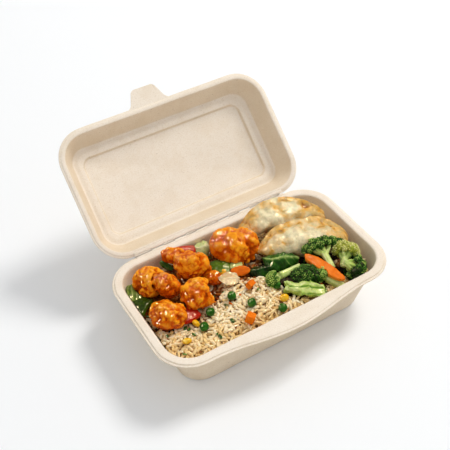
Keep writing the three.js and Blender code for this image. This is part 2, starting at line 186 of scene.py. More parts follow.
@dataclass
class Form:
    """A mesh while it is built, in millimetres."""

    points: Array  # one row for each point
    faces: list[Array]  # arrays of point numbers, one array for each face size
    # named values of the points, from 0 to 1
    paint: dict[str, Array] = field(default_factory=dict)

    def triangles(self) -> Array:
        """Splits all faces into triangles.

        Returns:
            Three point numbers for each triangle.
        """
        parts = []
        for face in self.faces:
            parts += [face[:, [0, k, k + 1]] for k in range(1, face.shape[1] - 1)]
        return np.concatenate(parts)

    def normals(self) -> Array:
        """Finds the outward directions at the points.

        Returns:
            One direction for each point, of length 1.
        """
        tri = self.triangles()
        a, b, c = (self.points[tri[:, k]] for k in range(3))
        across = np.cross(b - a, c - a)
        total = np.zeros_like(self.points)
        for k, axis in product(range(3), range(3)):
            total[:, axis] += np.bincount(tri[:, k], across[:, axis], len(self.points))
        return total / np.maximum(np.linalg.norm(total, axis=1, keepdims=True), 1e-12)

    def pushed(self, heights: Array) -> "Form":
        """The form with each point moved out along its normal by its height."""
        points = self.points + self.normals() * heights[:, None]
        return Form(points, self.faces, dict(self.paint))

    def moved(self, turn: Array, shift: Array) -> "Form":
        """The form turned by a 3 x 3 matrix, then shifted."""
        return Form(self.points @ turn.T + shift, self.faces, dict(self.paint))

    def toned(self, tone: Array) -> "Form":
        """The form with its tone painted, held within 0 and 1."""
        return Form(self.points, self.faces, {**self.paint, "tone": np.clip(tone, 0, 1)})

    def crests(self, rounds: int) -> Array:
        """How far each point stands above its surroundings.

        Args:
            rounds: how wide the surroundings are.

        Returns:
            Heights in millimetres, below 0 in hollows.
        """
        tri = self.triangles()
        start, end = tri.ravel(), np.roll(tri, -1, axis=1).ravel()
        share = 1 / np.maximum(np.bincount(start, minlength=len(self.points)), 1)[:, None]
        even = self.points
        for _ in range(rounds):
            sums = [np.bincount(start, even[end, k], len(even)) for k in range(3)]
            even = np.column_stack(sums) * share
        return np.sum((self.points - even) * self.normals(), axis=1)

    @staticmethod
    def read(mesh: bpy.types.Mesh) -> "Form":
        """A form with the points and faces of a mesh.

        Args:
            mesh: the mesh, in metres.

        Returns:
            The form.
        """
        points = np.zeros(len(mesh.vertices) * 3, np.float32)
        mesh.vertices.foreach_get("co", points)
        sizes = np.zeros(len(mesh.polygons), np.int32)
        mesh.polygons.foreach_get("loop_total", sizes)
        corners = np.zeros(len(mesh.loops), np.int32)
        mesh.loops.foreach_get("vertex_index", corners)
        starts = np.concatenate([[0], np.cumsum(sizes)[:-1]])
        faces = []
        for size in sorted(set(sizes)):
            first = starts[sizes == size]
            faces.append(corners[first[:, None] + np.arange(size)].astype(int))
        return Form(points.reshape(-1, 3).astype(float) / MM, faces)

    def fused(self, voxel: float, rounds: int, levels: int = 0) -> "Form":
        """The form's closed shells as one soft skin of small even faces.

        Args:
            voxel: size of the faces in millimetres, before they are split.
            rounds: how often the surface is smoothed.
            levels: how often each face is split in four.

        Returns:
            The new form.
        """
        blank = self.to_object("blank")
        shell = blank.modifiers.new("shell", "REMESH")
        shell.mode, shell.voxel_size = "VOXEL", voxel * MM
        soft = blank.modifiers.new("soft", "SMOOTH")
        soft.factor, soft.iterations = 0.5, rounds
        if levels:
            blank.modifiers.new("split", "SUBSURF").levels = levels
        graph = bpy.context.evaluated_depsgraph_get()
        mesh = bpy.data.meshes.new_from_object(blank.evaluated_get(graph))
        made = Form.read(mesh)
        raw = blank.data
        bpy.data.objects.remove(blank)
        for used in (raw, mesh):
            bpy.data.meshes.remove(used)
        return made

    @staticmethod
    def joined(forms: list["Form"]) -> "Form":
        """Several forms as one.

        Args:
            forms: the forms, all with the same painted values.

        Returns:
            One form that holds them all.
        """
        faces: list[Array] = []
        start = 0
        for form in forms:
            faces += [face + start for face in form.faces]
            start += len(form.points)
        paint = {k: np.concatenate([f.paint[k] for f in forms]) for k in forms[0].paint}
        return Form(np.concatenate([f.points for f in forms]), faces, paint)

    def to_object(self, name: str) -> bpy.types.Object:
        """Makes the mesh object, in metres.

        Args:
            name: the piece's name.

        Returns:
            The object, smooth shaded and linked to the scene.
        """
        sizes = np.concatenate([np.full(len(f), f.shape[1]) for f in self.faces])
        corners = np.concatenate([f.ravel() for f in self.faces])
        mesh = bpy.data.meshes.new(name)
        mesh.vertices.add(len(self.points))
        mesh.vertices.foreach_set("co", (self.points * MM).astype(np.float32).ravel())
        mesh.loops.add(len(corners))
        mesh.loops.foreach_set("vertex_index", corners.astype(np.int32))
        mesh.polygons.add(len(sizes))
        starts = np.concatenate([[0], np.cumsum(sizes)[:-1]]).astype(np.int32)
        mesh.polygons.foreach_set("loop_start", starts)
        mesh.polygons.foreach_set("use_smooth", np.ones(len(sizes), bool))
        for key, values in self.paint.items():
            layer = mesh.attributes.new(key, "FLOAT", "POINT")
            layer.data.foreach_set("value", values.astype(np.float32))
        mesh.update(calc_edges=True)
        mesh.validate()
        made = bpy.data.objects.new(name, mesh)
        bpy.context.scene.collection.objects.link(made)
        return made


def loft(rings: Array) -> Form:
    """A skin through closed rings of equal length, shut by a fan at each end.

    Args:
        rings: rows x points x 3.

    Returns:
        The form.
    """
    rows, count = rings.shape[:2]
    index = np.arange(rows * count).reshape(rows, count)
    ahead = np.roll(index, -1, axis=1)
    quads = np.stack([index[:-1], ahead[:-1], ahead[1:], index[1:]], -1).reshape(-1, 4)
    points = np.vstack([rings.reshape(-1, 3), rings[0].mean(0), rings[-1].mean(0)])
    first = np.stack([np.full(count, rows * count), ahead[0], index[0]], -1)
    last = np.stack([np.full(count, rows * count + 1), index[-1], ahead[-1]], -1)
    return Form(points, [quads, first, last])


@functools.cache
def ball(detail: int) -> Form:
    """A unit ball of triangles.

    Args:
        detail: how fine it is; 1 has 20 faces.

    Returns:
        The form, not to be changed.
    """
    bm = bmesh.new()
    bmesh.ops.create_icosphere(bm, subdivisions=detail, radius=1.0)
    points = np.array([v.co for v in bm.verts])
    faces = np.array([[v.index for v in f.verts] for f in bm.faces])
    bm.free()
    return Form(points, [faces])


def even_directions(count: int) -> Array:
    """Evenly spread directions over the whole ball.

    Args:
        count: how many.

    Returns:
        One direction in each row.
    """
    i = np.arange(count) + 0.5
    z = 1 - 2 * i / count
    angle = math.pi * (1 + math.sqrt(5)) * i
    flat = np.sqrt(1 - z * z)
    return np.column_stack([flat * np.cos(angle), flat * np.sin(angle), z])


def turned(degrees: Triple) -> Array:
    """Matrix of turns about x, then y, then z."""
    x, y, z = (math.radians(d) for d in degrees)
    return np.array(Euler((x, y, z), "XYZ").to_matrix())


def random_turns(rng: Rng, count: int) -> Array:
    """Unrelated turns, one for each piece.

    Args:
        rng: source of the turns.
        count: how many.

    Returns:
        A 3 x 3 matrix for each.
    """
    w, x, y, z = unit(rng.normal(size=(count, 4))).T
    rows = [
        [1 - 2 * (y * y + z * z), 2 * (x * y - z * w), 2 * (x * z + y * w)],
        [2 * (x * y + z * w), 1 - 2 * (x * x + z * z), 2 * (y * z - x * w)],
        [2 * (x * z - y * w), 2 * (y * z + x * w), 1 - 2 * (x * x + y * y)],
    ]
    return np.moveaxis(np.array(rows), 2, 0)


def scattered(base: Form, turns: Array, scales: Array, places: Array, tones: Array) -> Form:
    """Many copies of one form as real faces.

    Args:
        base: the form to repeat.
        turns: a 3 x 3 matrix for each copy.
        scales: three sizes for each copy.
        places: the middle of each copy.
        tones: the painted tone of each copy.

    Returns:
        One form that holds the copies.
    """
    shaped = base.points[None] * scales[:, None, :]
    points = np.einsum("nij,nvj->nvi", turns, shaped) + places[:, None, :]
    step = (np.arange(len(places)) * len(base.points))[:, None, None]
    faces = [(face[None] + step).reshape(-1, face.shape[1]) for face in base.faces]
    paint = {"tone": np.repeat(tones, len(base.points))}
    return Form(points.reshape(-1, 3), faces, paint)


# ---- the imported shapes


class Packed:
    """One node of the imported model, read for its place and shape."""

    def __init__(self, node: str) -> None:
        """Reads the node's box.

        Args:
            node: the node's name.
        """
        self.node = node
        low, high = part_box(node)
        self.low, self.high = np.array(low) / MM, np.array(high) / MM
        self.middle = (self.low + self.high) / 2

    @functools.cached_property
    def tree(self) -> BVHTree:
        """The node's faces in millimetres, for tests of distance and for rays."""
        return self.tree_of([self.node])

    @staticmethod
    def tree_of(nodes: list[str]) -> BVHTree:
        """Gathers the faces of several nodes in millimetres.

        Args:
            nodes: the nodes' names.

        Returns:
            Their faces, ready for tests of distance and for rays.
        """
        points: list[Vector] = []
        faces: list[list[int]] = []
        for node in nodes:
            mesh = frame["nodes"][node].data
            faces += [[len(points) + v for v in p.vertices] for p in mesh.polygons]
            points += [v.co / MM for v in mesh.vertices]
        return BVHTree.FromPolygons(points, faces)

    def holds(self, points: Array, margin: float) -> Array:
        """Tests whether points are inside the node, or almost.

        Args:
            points: places, one row each.
            margin: how far outside still counts as inside.

        Returns:
            True or false for each point.
        """
        found = []
        for point in points:
            near, normal, _, distance = self.tree.find_nearest(Vector(point))
            inside = (Vector(point) - near).dot(normal) < 0
            found.append(inside or distance < margin)
        return np.array(found)

    def form(self, inset: float = 0.0) -> Form:
        """The node's shape, drawn in on each side.

        Args:
            inset: by how much.

        Returns:
            The form.
        """
        form = Form.read(frame["nodes"][self.node].data)
        half = (self.high - self.low) / 2
        form.points = self.middle + (form.points - self.middle) * (1 - inset / half)
        return form


# ---- finishes


def srgb(code: str) -> Colour:
    """Linear colour of a six-figure code.

    Args:
        code: red, green and blue, two hexadecimal figures each.

    Returns:
        Red, green, blue and full cover.
    """
    parts = [int(code[k : k + 2], 16) / 255 for k in (0, 2, 4)]
    linear = [c / 12.92 if c <= 0.04045 else ((c + 0.055) / 1.055) ** 2.4 for c in parts]
    return (linear[0], linear[1], linear[2], 1.0)


@dataclass
class Nodes:
    """Short-hand for adding and joining the nodes of one tree."""

    tree: bpy.types.NodeTree

    def feed(self, node: bpy.types.Node, sockets: dict) -> None:
        """Sets the inputs of a node.

        Args:
            node: the node.
            sockets: input values, or sockets that feed the inputs.
        """
        for key, value in sockets.items():
            if isinstance(value, bpy.types.NodeSocket):
                self.tree.links.new(value, node.inputs[key])
            else:
                node.inputs[key].default_value = value

    def add(self, kind: str, sockets: dict | None = None, **settings: object) -> bpy.types.Node:
        """Adds a node.

        Args:
            kind: the node's type, without "ShaderNode".
            sockets: input values, or sockets that feed the inputs.
            **settings: the node's own settings.

        Returns:
            The node.
        """
        node = self.tree.nodes.new("ShaderNode" + kind)
        for key, value in settings.items():
            setattr(node, key, value)
        self.feed(node, sockets or {})
        return node

    def group(self, tree: bpy.types.NodeTree, **sockets: object) -> bpy.types.NodeSocket:
        """The output of a node group that is placed with these inputs."""
        return self.add("Group", sockets, node_tree=tree).outputs[0]

    def spots(self) -> bpy.types.NodeSocket:
        """Places in the piece's own axes, as a socket."""
        return self.add("TexCoord").outputs["Object"]

    def mixed(self, factor: object, first: object, second: object, blend: str = "MIX") -> object:
        """A blend of two colours by a mask, as a socket."""
        sockets = {0: factor, 6: first, 7: second}
        return self.add("Mix", sockets, data_type="RGBA", blend_type=blend).outputs[2]

    def spread(self, value: object, start: float, end: float, low: object, high: object) -> object:
        """Maps a value's range softly on another one, clamped, as a socket."""
        sockets = {0: value, 1: start, 2: end, 3: low, 4: high}
        return self.add("MapRange", sockets, interpolation_type="SMOOTHSTEP").outputs[0]


def new_group(name: str, takes: dict[str, str],
              gives: dict[str, str]) -> tuple[Nodes, bpy.types.Node, bpy.types.Node]:
    """Starts a shader node group.

    Args:
        name: the group's name.
        takes: socket types of its inputs by name.
        gives: socket types of its outputs by name.

    Returns:
        Its nodes, its input node and its output node.
    """
    tree = bpy.data.node_groups.new(name, "ShaderNodeTree")
    for way, sockets in (("INPUT", takes), ("OUTPUT", gives)):
        for label, kind in sockets.items():
            tree.interface.new_socket(label, in_out=way, socket_type="NodeSocket" + kind)
    return Nodes(tree), tree.nodes.new("NodeGroupInput"), tree.nodes.new("NodeGroupOutput")


@functools.cache
def mottle_group() -> bpy.types.NodeTree:
    """Makes the group that lays cloudy patches of a second colour over a colour.

    Returns:
        The group.
    """
    nodes, start, end = new_group(
        "mottle", {"Colour": "Color", "Patch": "Color", "Scale": "Float", "Amount": "Float"},
        {"Colour": "Color"})
    clouds = nodes.add("TexNoise", {"Vector": nodes.spots(), "Scale": start.outputs["Scale"],
                                    "Detail": 5.0, "Roughness": 0.62})
    mask = nodes.spread(clouds.outputs[0], 0.42, 0.66, 0.0, start.outputs["Amount"])
    colour = nodes.mixed(mask, start.outputs["Colour"], start.outputs["Patch"])
    nodes.feed(end, {"Colour": colour})
    return nodes.tree


@functools.cache
def relief_group() -> bpy.types.NodeTree:
    """Makes the group that gives the height of fine unevenness for a bump.

    Returns:
        The group.
    """
    nodes, start, end = new_group("fine_relief", {"Scale": "Float"}, {"Height": "Float"})
    grid = {"Vector": nodes.spots(), "Scale": start.outputs["Scale"]}
    coarse = nodes.add("TexNoise", {**grid, "Detail": 6.0, "Roughness": 0.6})
    cells = nodes.add("TexVoronoi", grid, feature="SMOOTH_F1")
    both = nodes.add("Math", {0: coarse.outputs[0], 1: cells.outputs[0]}, operation="ADD")
    nodes.feed(end, {"Height": both.outputs[0]})
    return nodes.tree


@functools.cache
def gloss_group() -> bpy.types.NodeTree:
    """Makes the group that varies roughness in clouds between two values.

    Returns:
        The group.
    """
    nodes, start, end = new_group(
        "gloss_clouds", {"Scale": "Float", "Smoothest": "Float", "Roughest": "Float"},
        {"Roughness": "Float"})
    clouds = nodes.add("TexNoise", {"Vector": nodes.spots(), "Scale": start.outputs["Scale"],
                                    "Detail": 3.0})
    value = nodes.spread(clouds.outputs[0], 0.35, 0.65, start.outputs["Smoothest"],
                         start.outputs["Roughest"])
    nodes.feed(end, {"Roughness": value})
    return nodes.tree


def new_material(name: str) -> tuple[bpy.types.Material, Nodes, bpy.types.Node]:
    """Starts a material.

    Args:
        name: the finish's name.

    Returns:
        The material, its nodes and its shader.
    """
    material = bpy.data.materials.new(name + "_finish")
    material.use_nodes = True
    return material, Nodes(material.node_tree), material.node_tree.nodes["Principled BSDF"]


@dataclass(frozen=True)
class Finish:
    """Finish of a food: three colours along a painted tone, patches, gloss and relief."""

    name: str  # the material's name
    colours: tuple[str, str, str]  # colour codes at tones 0, a half and 1
    patch: str  # colour code of the patches
    patch_size: float = 6.0  # width of the patches in millimetres
    patch_amount: float = 0.4  # how strong the patches are
    roughness: Pair = (0.35, 0.55)  # least and most roughness
    coat: float = 0.0  # weight of the wet film on top
    soft: float = 0.15  # weight of the light that passes below the surface
    depth: float = 1.5  # how far that light goes, in millimetres
    relief: float = 0.1  # height of the finest unevenness in millimetres
    relief_size: float = 1.0  # width of that unevenness in millimetres
    shine: float = 0.1  # specular level below the film

    @functools.cache
    def material(self) -> bpy.types.Material:
        """Builds the finish as a material, once.

        Returns:
            The material.
        """
        material, nodes, shader = new_material(self.name)
        ladder = nodes.add("ValToRGB", {
            0: nodes.add("Attribute", attribute_name="tone").outputs["Fac"]})
        ladder.color_ramp.elements.new(0.5)
        for stop, code in zip(ladder.color_ramp.elements, self.colours):
            stop.color = srgb(code)
        colour = nodes.group(mottle_group(), Colour=ladder.outputs[0], Patch=srgb(self.patch),
                             Scale=1 / (self.patch_size * MM), Amount=self.patch_amount)
        gloss = nodes.group(gloss_group(), Scale=2 / (self.patch_size * MM),
                            Smoothest=self.roughness[0], Roughest=self.roughness[1])
        relief = nodes.group(relief_group(), Scale=1 / (self.relief_size * MM))
        bump = nodes.add("Bump", {"Strength": 1.0, "Distance": self.relief * MM,
                                  "Height": relief})
        nodes.feed(shader, {
            "Base Color": colour, "Roughness": gloss,
            "Normal": bump.outputs[0], "Specular IOR Level": self.shine,
            "Coat Weight": self.coat, "Coat Roughness": FILM_ROUGHNESS,
            "Subsurface Weight": self.soft, "Subsurface Scale": self.depth * MM,
            "Subsurface Radius": FLESH_SPREAD})
        return material


@dataclass(frozen=True)
class FibreFinish:
    """Finish of the moulded plant fibre: matt, mottled, with fine strands and painted wall shade.
    """

    name: str = "moulded_fibre"  # the material's name
    base: str = "f2e7d8"  # colour code of the clean surface
    worn: str = "e2d0b7"  # colour code of darker clouds
    # how many clouds go in a metre and how strong they are, wide ones first
    clouds: tuple[Pair, ...] = ((45.0, 0.3), (900.0, 0.45))
    strand: str = "a48a68"  # colour code of single dark strands
    strands: float = 420.0  # how many strands go in a metre, across them
    wall: str = "f1ebe0"  # colour code of the painted shade that the walls are multiplied by
    relief: float = 0.12  # height of the strands in millimetres
    fineness: float = 1100.0  # how many bumps of the relief go in a metre
    gloss_clouds: float = 300.0  # how many clouds of gloss go in a metre
    roughness: Pair = (0.72, 0.9)  # least and most roughness
    shine: float = 0.1  # specular level

    @functools.cache
    def material(self) -> bpy.types.Material:
        """Builds the finish as a material, once.

        Returns:
            The material.
        """
        material, nodes, shader = new_material(self.name)
        colour: object = srgb(self.base)
        for scale, amount in self.clouds:
            colour = nodes.group(mottle_group(), Colour=colour, Patch=srgb(self.worn),
                                 Scale=scale, Amount=amount)
        drawn = nodes.add("Mapping", {"Vector": nodes.spots(), "Scale": (1.0, 5.0, 1.6),
                                      "Rotation": (0.3, 0.2, 0.6)})
        lines = nodes.add("TexNoise", {"Vector": drawn.outputs[0], "Scale": self.strands,
                                       "Detail": 2.0})
        mask = nodes.spread(lines.outputs[0], 0.66, 0.74, 0.0, 0.5)
        colour = nodes.mixed(mask, colour, srgb(self.strand))
        # The walls are darkened by painted shade: their painted value multiplies the colour.
        wall_shade = nodes.add("Attribute", attribute_name="wall_shade").outputs["Fac"]
        colour = nodes.mixed(wall_shade, colour, srgb(self.wall), "MULTIPLY")
        relief = nodes.group(relief_group(), Scale=self.fineness)
        bump = nodes.add("Bump", {"Strength": 0.7, "Distance": self.relief * MM,
                                  "Height": relief})
        gloss = nodes.group(gloss_group(), Scale=self.gloss_clouds,
                            Smoothest=self.roughness[0], Roughest=self.roughness[1])
        nodes.feed(shader, {"Base Color": colour, "Roughness": gloss,
                            "Normal": bump.outputs[0], "Specular IOR Level": self.shine})
        return material


FIBRE = FibreFinish()
GLAZE = Finish("glazed_chicken", ("963400", "d05600", "f8a01c"), "c05200", 5.0, 0.15,
               (0.5, 0.7), 0.45, 0.0, 2.0, 0.06, 2.0, 0.0)
SAUCE = Finish("sauce", ("5c1800", "98400c", "c46c18"), "742404", 5.0, 0.4,
               (0.25, 0.4), 0.6, 0.0, 2.0, 0.1, 1.4, 0.06)
DOUGH = Finish("dough", ("eee0b8", "dfa84c", "8c480c"), "9c9266", 7.0, 0.46,
               (0.3, 0.5), 0.08, 0.1, 3.0, 0.14, 1.6, 0.1)
GRAIN = Finish("fried_rice_grain", ("845018", "eeca86", "fff2d0"), "e2b468", 5.0, 0.3,
               (0.3, 0.5), 0.14, 0.05, 1.2, 0.03, 0.8, 0.08)
# Finish of grains darkened by sauce and by painted shade between and behind the food.
SAUCE_AND_SHADE_GRAIN = Finish("sauced_and_shaded_rice_grain", ("3c1404", "6c300a", "a45c1c"), "84300a", 5.0, 0.4,
                (0.3, 0.5), 0.35, 0.0, 1.2, 0.03, 0.8, 0.08)
# Finish of the rice core; its darkest tones are painted shade under the vegetables.
BED_AND_SHADE = Finish("fried_rice_bed_and_shade", ("10160a", "3a1204", "a8743a"), "5c3410", 4.0, 0.6,
             (0.4, 0.6), 0.0, 0.0, 1.0, 0.3, 1.2)
BUDS = Finish("broccoli_green", ("12280a", "3c781c", "bcd868"), "22500e", 5.0, 0.35,
              (0.4, 0.65), 0.0, 0.05, 1.0, 0.05, 0.6)
YOUNG_BUDS = Finish("broccoli_yellow_green", ("667c12", "bcbe44", "ece89c"), "98a630", 5.0,
                    0.4, (0.4, 0.65), 0.0, 0.05, 1.0, 0.05, 0.6)
STEM = Finish("broccoli_stem", ("4c7a18", "b0c85c", "eaeaae"), "8cac3c", 5.0, 0.35,
              (0.3, 0.5), 0.15, 0.12, 2.0, 0.1, 1.0)
LEAF = Finish("leaf_green", ("0a2408", "2c6416", "b8d06c"), "123a0c", 5.0, 0.4,
              (0.3, 0.45), 0.42, 0.0, 0.8, 0.12, 1.2)
CARROT = Finish("carrot", ("c04a04", "f07a10", "f9a040"), "de6408", 5.0, 0.35,
                (0.4, 0.55), 0.03, 0.03, 2.0, 0.05, 0.9, 0.04)
RED = Finish("red_pepper", ("640400", "b41400", "e84010"), "8c0800", 7.0, 0.4,
             (0.3, 0.45), 0.12, 0.0, 1.5, 0.04, 1.6)
GREEN = Finish("green_pepper", ("1e3206", "506e10", "a6b258"), "2e4608", 7.0, 0.4,
               (0.2, 0.35), 0.18, 0.06, 1.5, 0.04, 1.6)
PALE = Finish("pale_vegetable", ("8ea444", "c4ca80", "e8e4c0"), "aab868", 5.0, 0.4,
              (0.25, 0.45), 0.2, 0.12, 2.0, 0.08, 1.4)
ONION = Finish("onion", ("c8a468", "e2caa0", "f0e4cc"), "d8b47c", 4.0, 0.4,
               (0.25, 0.4), 0.2, 0.2, 2.0, 0.06, 1.2)
BROWNED = Finish("browned_bits", ("4a200a", "8e5020", "c08844"), "6c3410", 3.0, 0.5,
                 (0.35, 0.6), 0.1, 0.05, 1.0, 0.12, 0.7)
PEA = Finish("pea", ("143c0a", "2c6618", "62a03a"), "1e4e10", 3.0, 0.3,
             (0.18, 0.3), 0.2, 0.1, 2.0, 0.03, 1.0)
CORN = Finish("corn", ("d89008", "f4bc1c", "f8dc70"), "e4a014", 3.0, 0.3,
              (0.2, 0.35), 0.2, 0.12, 2.0, 0.03, 1.0)


def place(form: Form, name: str, finish: Finish | FibreFinish,
          replaces: tuple[str, ...] = (), body: Body = Body.TRAY) -> bpy.types.Object:
    """Makes a piece, finishes it and fixes it to its body.

    Args:
        form: the piece's shape.
        name: the piece's name.
        finish: its finish.
        replaces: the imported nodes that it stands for.
        body: the body that it moves with.

    Returns:
        The piece.
    """
    made = form.to_object(name)
    made.data.materials.append(finish.material())
    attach(made, body.value)
    if replaces:
        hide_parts(*replaces)
    LOG.info("%s: %d faces", name, len(made.data.polygons))
    return made


# ---- the box


def eased(rows: Array, cut: float, span: float) -> Array:
    """A profile with its corners rounded and its long stretches divided.

    Args:
        rows: the profile; the first and the last column are the plane of its section.
        cut: how far from a corner its rounding starts.
        span: longest stretch that stays undivided.

    Returns:
        The rows of the finer profile.
    """
    plane = [0, -1]
    found = [rows[0]]
    for before, corner, after in zip(rows, rows[1:], rows[2:]):
        ends = []
        for other in (before, after):
            reach = np.linalg.norm((other - corner)[plane])
            ends.append(corner + (other - corner) * min(cut / max(reach, 1e-6), 0.48))
        for t in np.linspace(0, 1, 5):
            found.append((1 - t) ** 2 * ends[0] + 2 * t * (1 - t) * corner + t * t * ends[1])
    found.append(rows[-1])
    fine = [found[0]]
    for row in found[1:]:
        pieces = max(1, math.ceil(np.linalg.norm((row - fine[-1])[plane]) / span))
        fine += [fine[-1] + (row - fine[-1]) * k / pieces for k in range(1, pieces + 1)]
    return np.array(fine)


def paint_wall_shade(form: Form, outside: float = 0.5) -> None:
    """Paints shade on the sloping walls of a shell that lies level, to darken them.

    Args:
        form: the shell.
        outside: strength of the painted shade on the outer walls, from 0 to 1; the inner ones have
            1.
    """
    ahead = form.normals()
    middle = (form.points.max(0) + form.points.min(0)) / 2
    away = (form.points - middle) / np.square(np.ptp(form.points, axis=0))
    outer = np.sum((ahead * away)[:, :2], axis=1) > 0
    # Painted shade: the more upright a wall, the darker it is painted.
    wall_shade = ramp(np.hypot(ahead[:, 0], ahead[:, 1]), 0.5, 0.9)
    form.paint["wall_shade"] = wall_shade * np.where(outer, outside, 1.0)


def waved(form: Form, waves: tuple[int, float, float], way: tuple[float, ...]) -> Form:
    """A shell with the slight unevenness of moulded fibre.

    Args:
        form: the true shell.
        waves: seed, width and height of the waves.
        way: how far they go along x, y and z.

    Returns:
        The uneven shell.
    """
    seed, width, height = waves
    sway = Noise(seed).smooth(form.points, width, 3)[:, None] * height
    return Form(form.points + sway * np.array(way), form.faces)


def rounded_ring(half_x: float, half_y: float, radius: float, z: float) -> Array:
    """A rounded rectangle, counter-clockwise from the left end of its front side.

    Args:
        half_x: half its size along x.
        half_y: half its size along y.
        radius: radius of its corners.
        z: its height.

    Returns:
        Its points.
    """
    span_x, span_y = half_x - radius, half_y - radius
    corners = [(span_x, -span_y), (span_x, span_y), (-span_x, span_y), (-span_x, -span_y)]
    ring = []
    for turn, (x, y) in enumerate(corners):
        back = corners[turn - 1]
        out = math.radians(90 * (turn - 1))
        side = np.linspace(0, 1, SIDE_POINTS[turn % 2])[1:-1, None]
        edge = np.array(back) * (1 - side) + np.array([x, y]) * side
        ring.append(edge + radius * np.array([math.cos(out), math.sin(out)]))
        sweep = out + np.linspace(0, math.pi / 2, CORNER_POINTS)
        ring.append(np.column_stack([x + radius * np.cos(sweep), y + radius * np.sin(sweep)]))
    flat = np.vstack(ring)
    return np.column_stack([flat, np.full(len(flat), z)])


@dataclass
class Tray:
    """The tray of the box, with its wide rim, thin outer lip and front flap."""

    half_x: float = 125.0
    half_y: float = 72.5
    flap_reach: float = 10.0
    flap_half_span: float = 86.0
    # rounding of the section's corners and its longest stretch; seed, width and height
    # of the waves in its faces
    easing: Pair = (0.9, 3.0)
    waves: tuple[int, float, float] = (3, 26.0, 0.16)
    # inset x, inset y, corner radius and height of the inner wall's foot, and the
    # change of each up to the wall's top
    wall_foot: tuple[float, ...] = (25.5, 18.0, 22.0, 6.0)
    wall_rise: tuple[float, ...] = (14.8, 7.3, 3.0, 46.5)
    profile: tuple[tuple[float, ...], ...] = (
        # inset x, inset y, corner radius, share of the flap, height
        (30, 22.5, 19, 0, 0), (26, 18.5, 22, 0, 1.3), (24.2, 16.7, 23, 0, 5),
        (9.2, 9.2, 26.4, 0, 51.5), (7.6, 7.6, 27.6, 0, 53.9),
        (2.6, 2.6, 32.4, 1, 53.9), (1.8, 1.8, 33.2, 1, 52.6), (0, 0, 35, 1, 52.6),
        (0, 0, 35, 1, 54.2), (1.8, 1.8, 33.2, 1, 54.2), (2.5, 2.5, 32.5, 1, 55.5),
        (8.3, 8.3, 26.7, 0, 55.5), (9.8, 9.8, 25.5, 0, 54.8), (10.7, 10.7, 25, 0, 52.5),
        (25.5, 18, 22, 0, 6), (27.7, 20.2, 20.5, 0, 2.6), (31, 23.5, 18, 0, 1.6),
    )

    def form(self) -> Form:
        """Builds the tray's shell.

        Returns:
            The form, in its place.
        """
        rings = []
        for inset_x, inset_y, radius, flap, z in eased(np.array(self.profile), *self.easing):
            ring = rounded_ring(self.half_x - inset_x, self.half_y - inset_y, radius, z)
            front = ring[:, 1] < -(self.half_y - inset_y) + 1e-6
            turn = np.minimum(1, np.abs(ring[:, 0]) / self.flap_half_span)
            reach = self.flap_reach * np.cos(math.pi / 2 * turn) ** 2
            ring[:, 1] -= np.where(front, flap * reach, 0)
            rings.append(ring)
        return waved(loft(np.array(rings)), self.waves, (1, 1, 0.5))

    def outside_by(self, points: Array) -> Array:
        """Measures how far points lie outside the tray's inner wall at their height.

        Args:
            points: places above the floor.

        Returns:
            Distances, below 0 inside.
        """
        inset_x, inset_y, corner, low = self.wall_foot
        more_x, more_y, rounder, height = self.wall_rise
        rise = np.clip((points[:, 2] - low) / height, 0, 1)
        half = np.column_stack([self.half_x - inset_x + more_x * rise,
                                self.half_y - inset_y + more_y * rise])
        radius = corner + rounder * rise
        over = np.abs(points[:, :2]) - (half - radius[:, None])
        beyond = np.linalg.norm(np.maximum(over, 0), axis=1)
        return beyond + np.minimum(over.max(1), 0) - radius

    def build(self) -> None:
        """Places the tray."""
        shell = self.form()
        # Painted shade darkens the tray's walls, outside as much as inside.
        paint_wall_shade(shell, 1.0)
        place(shell, "tray_shell", FIBRE, ("tray",))


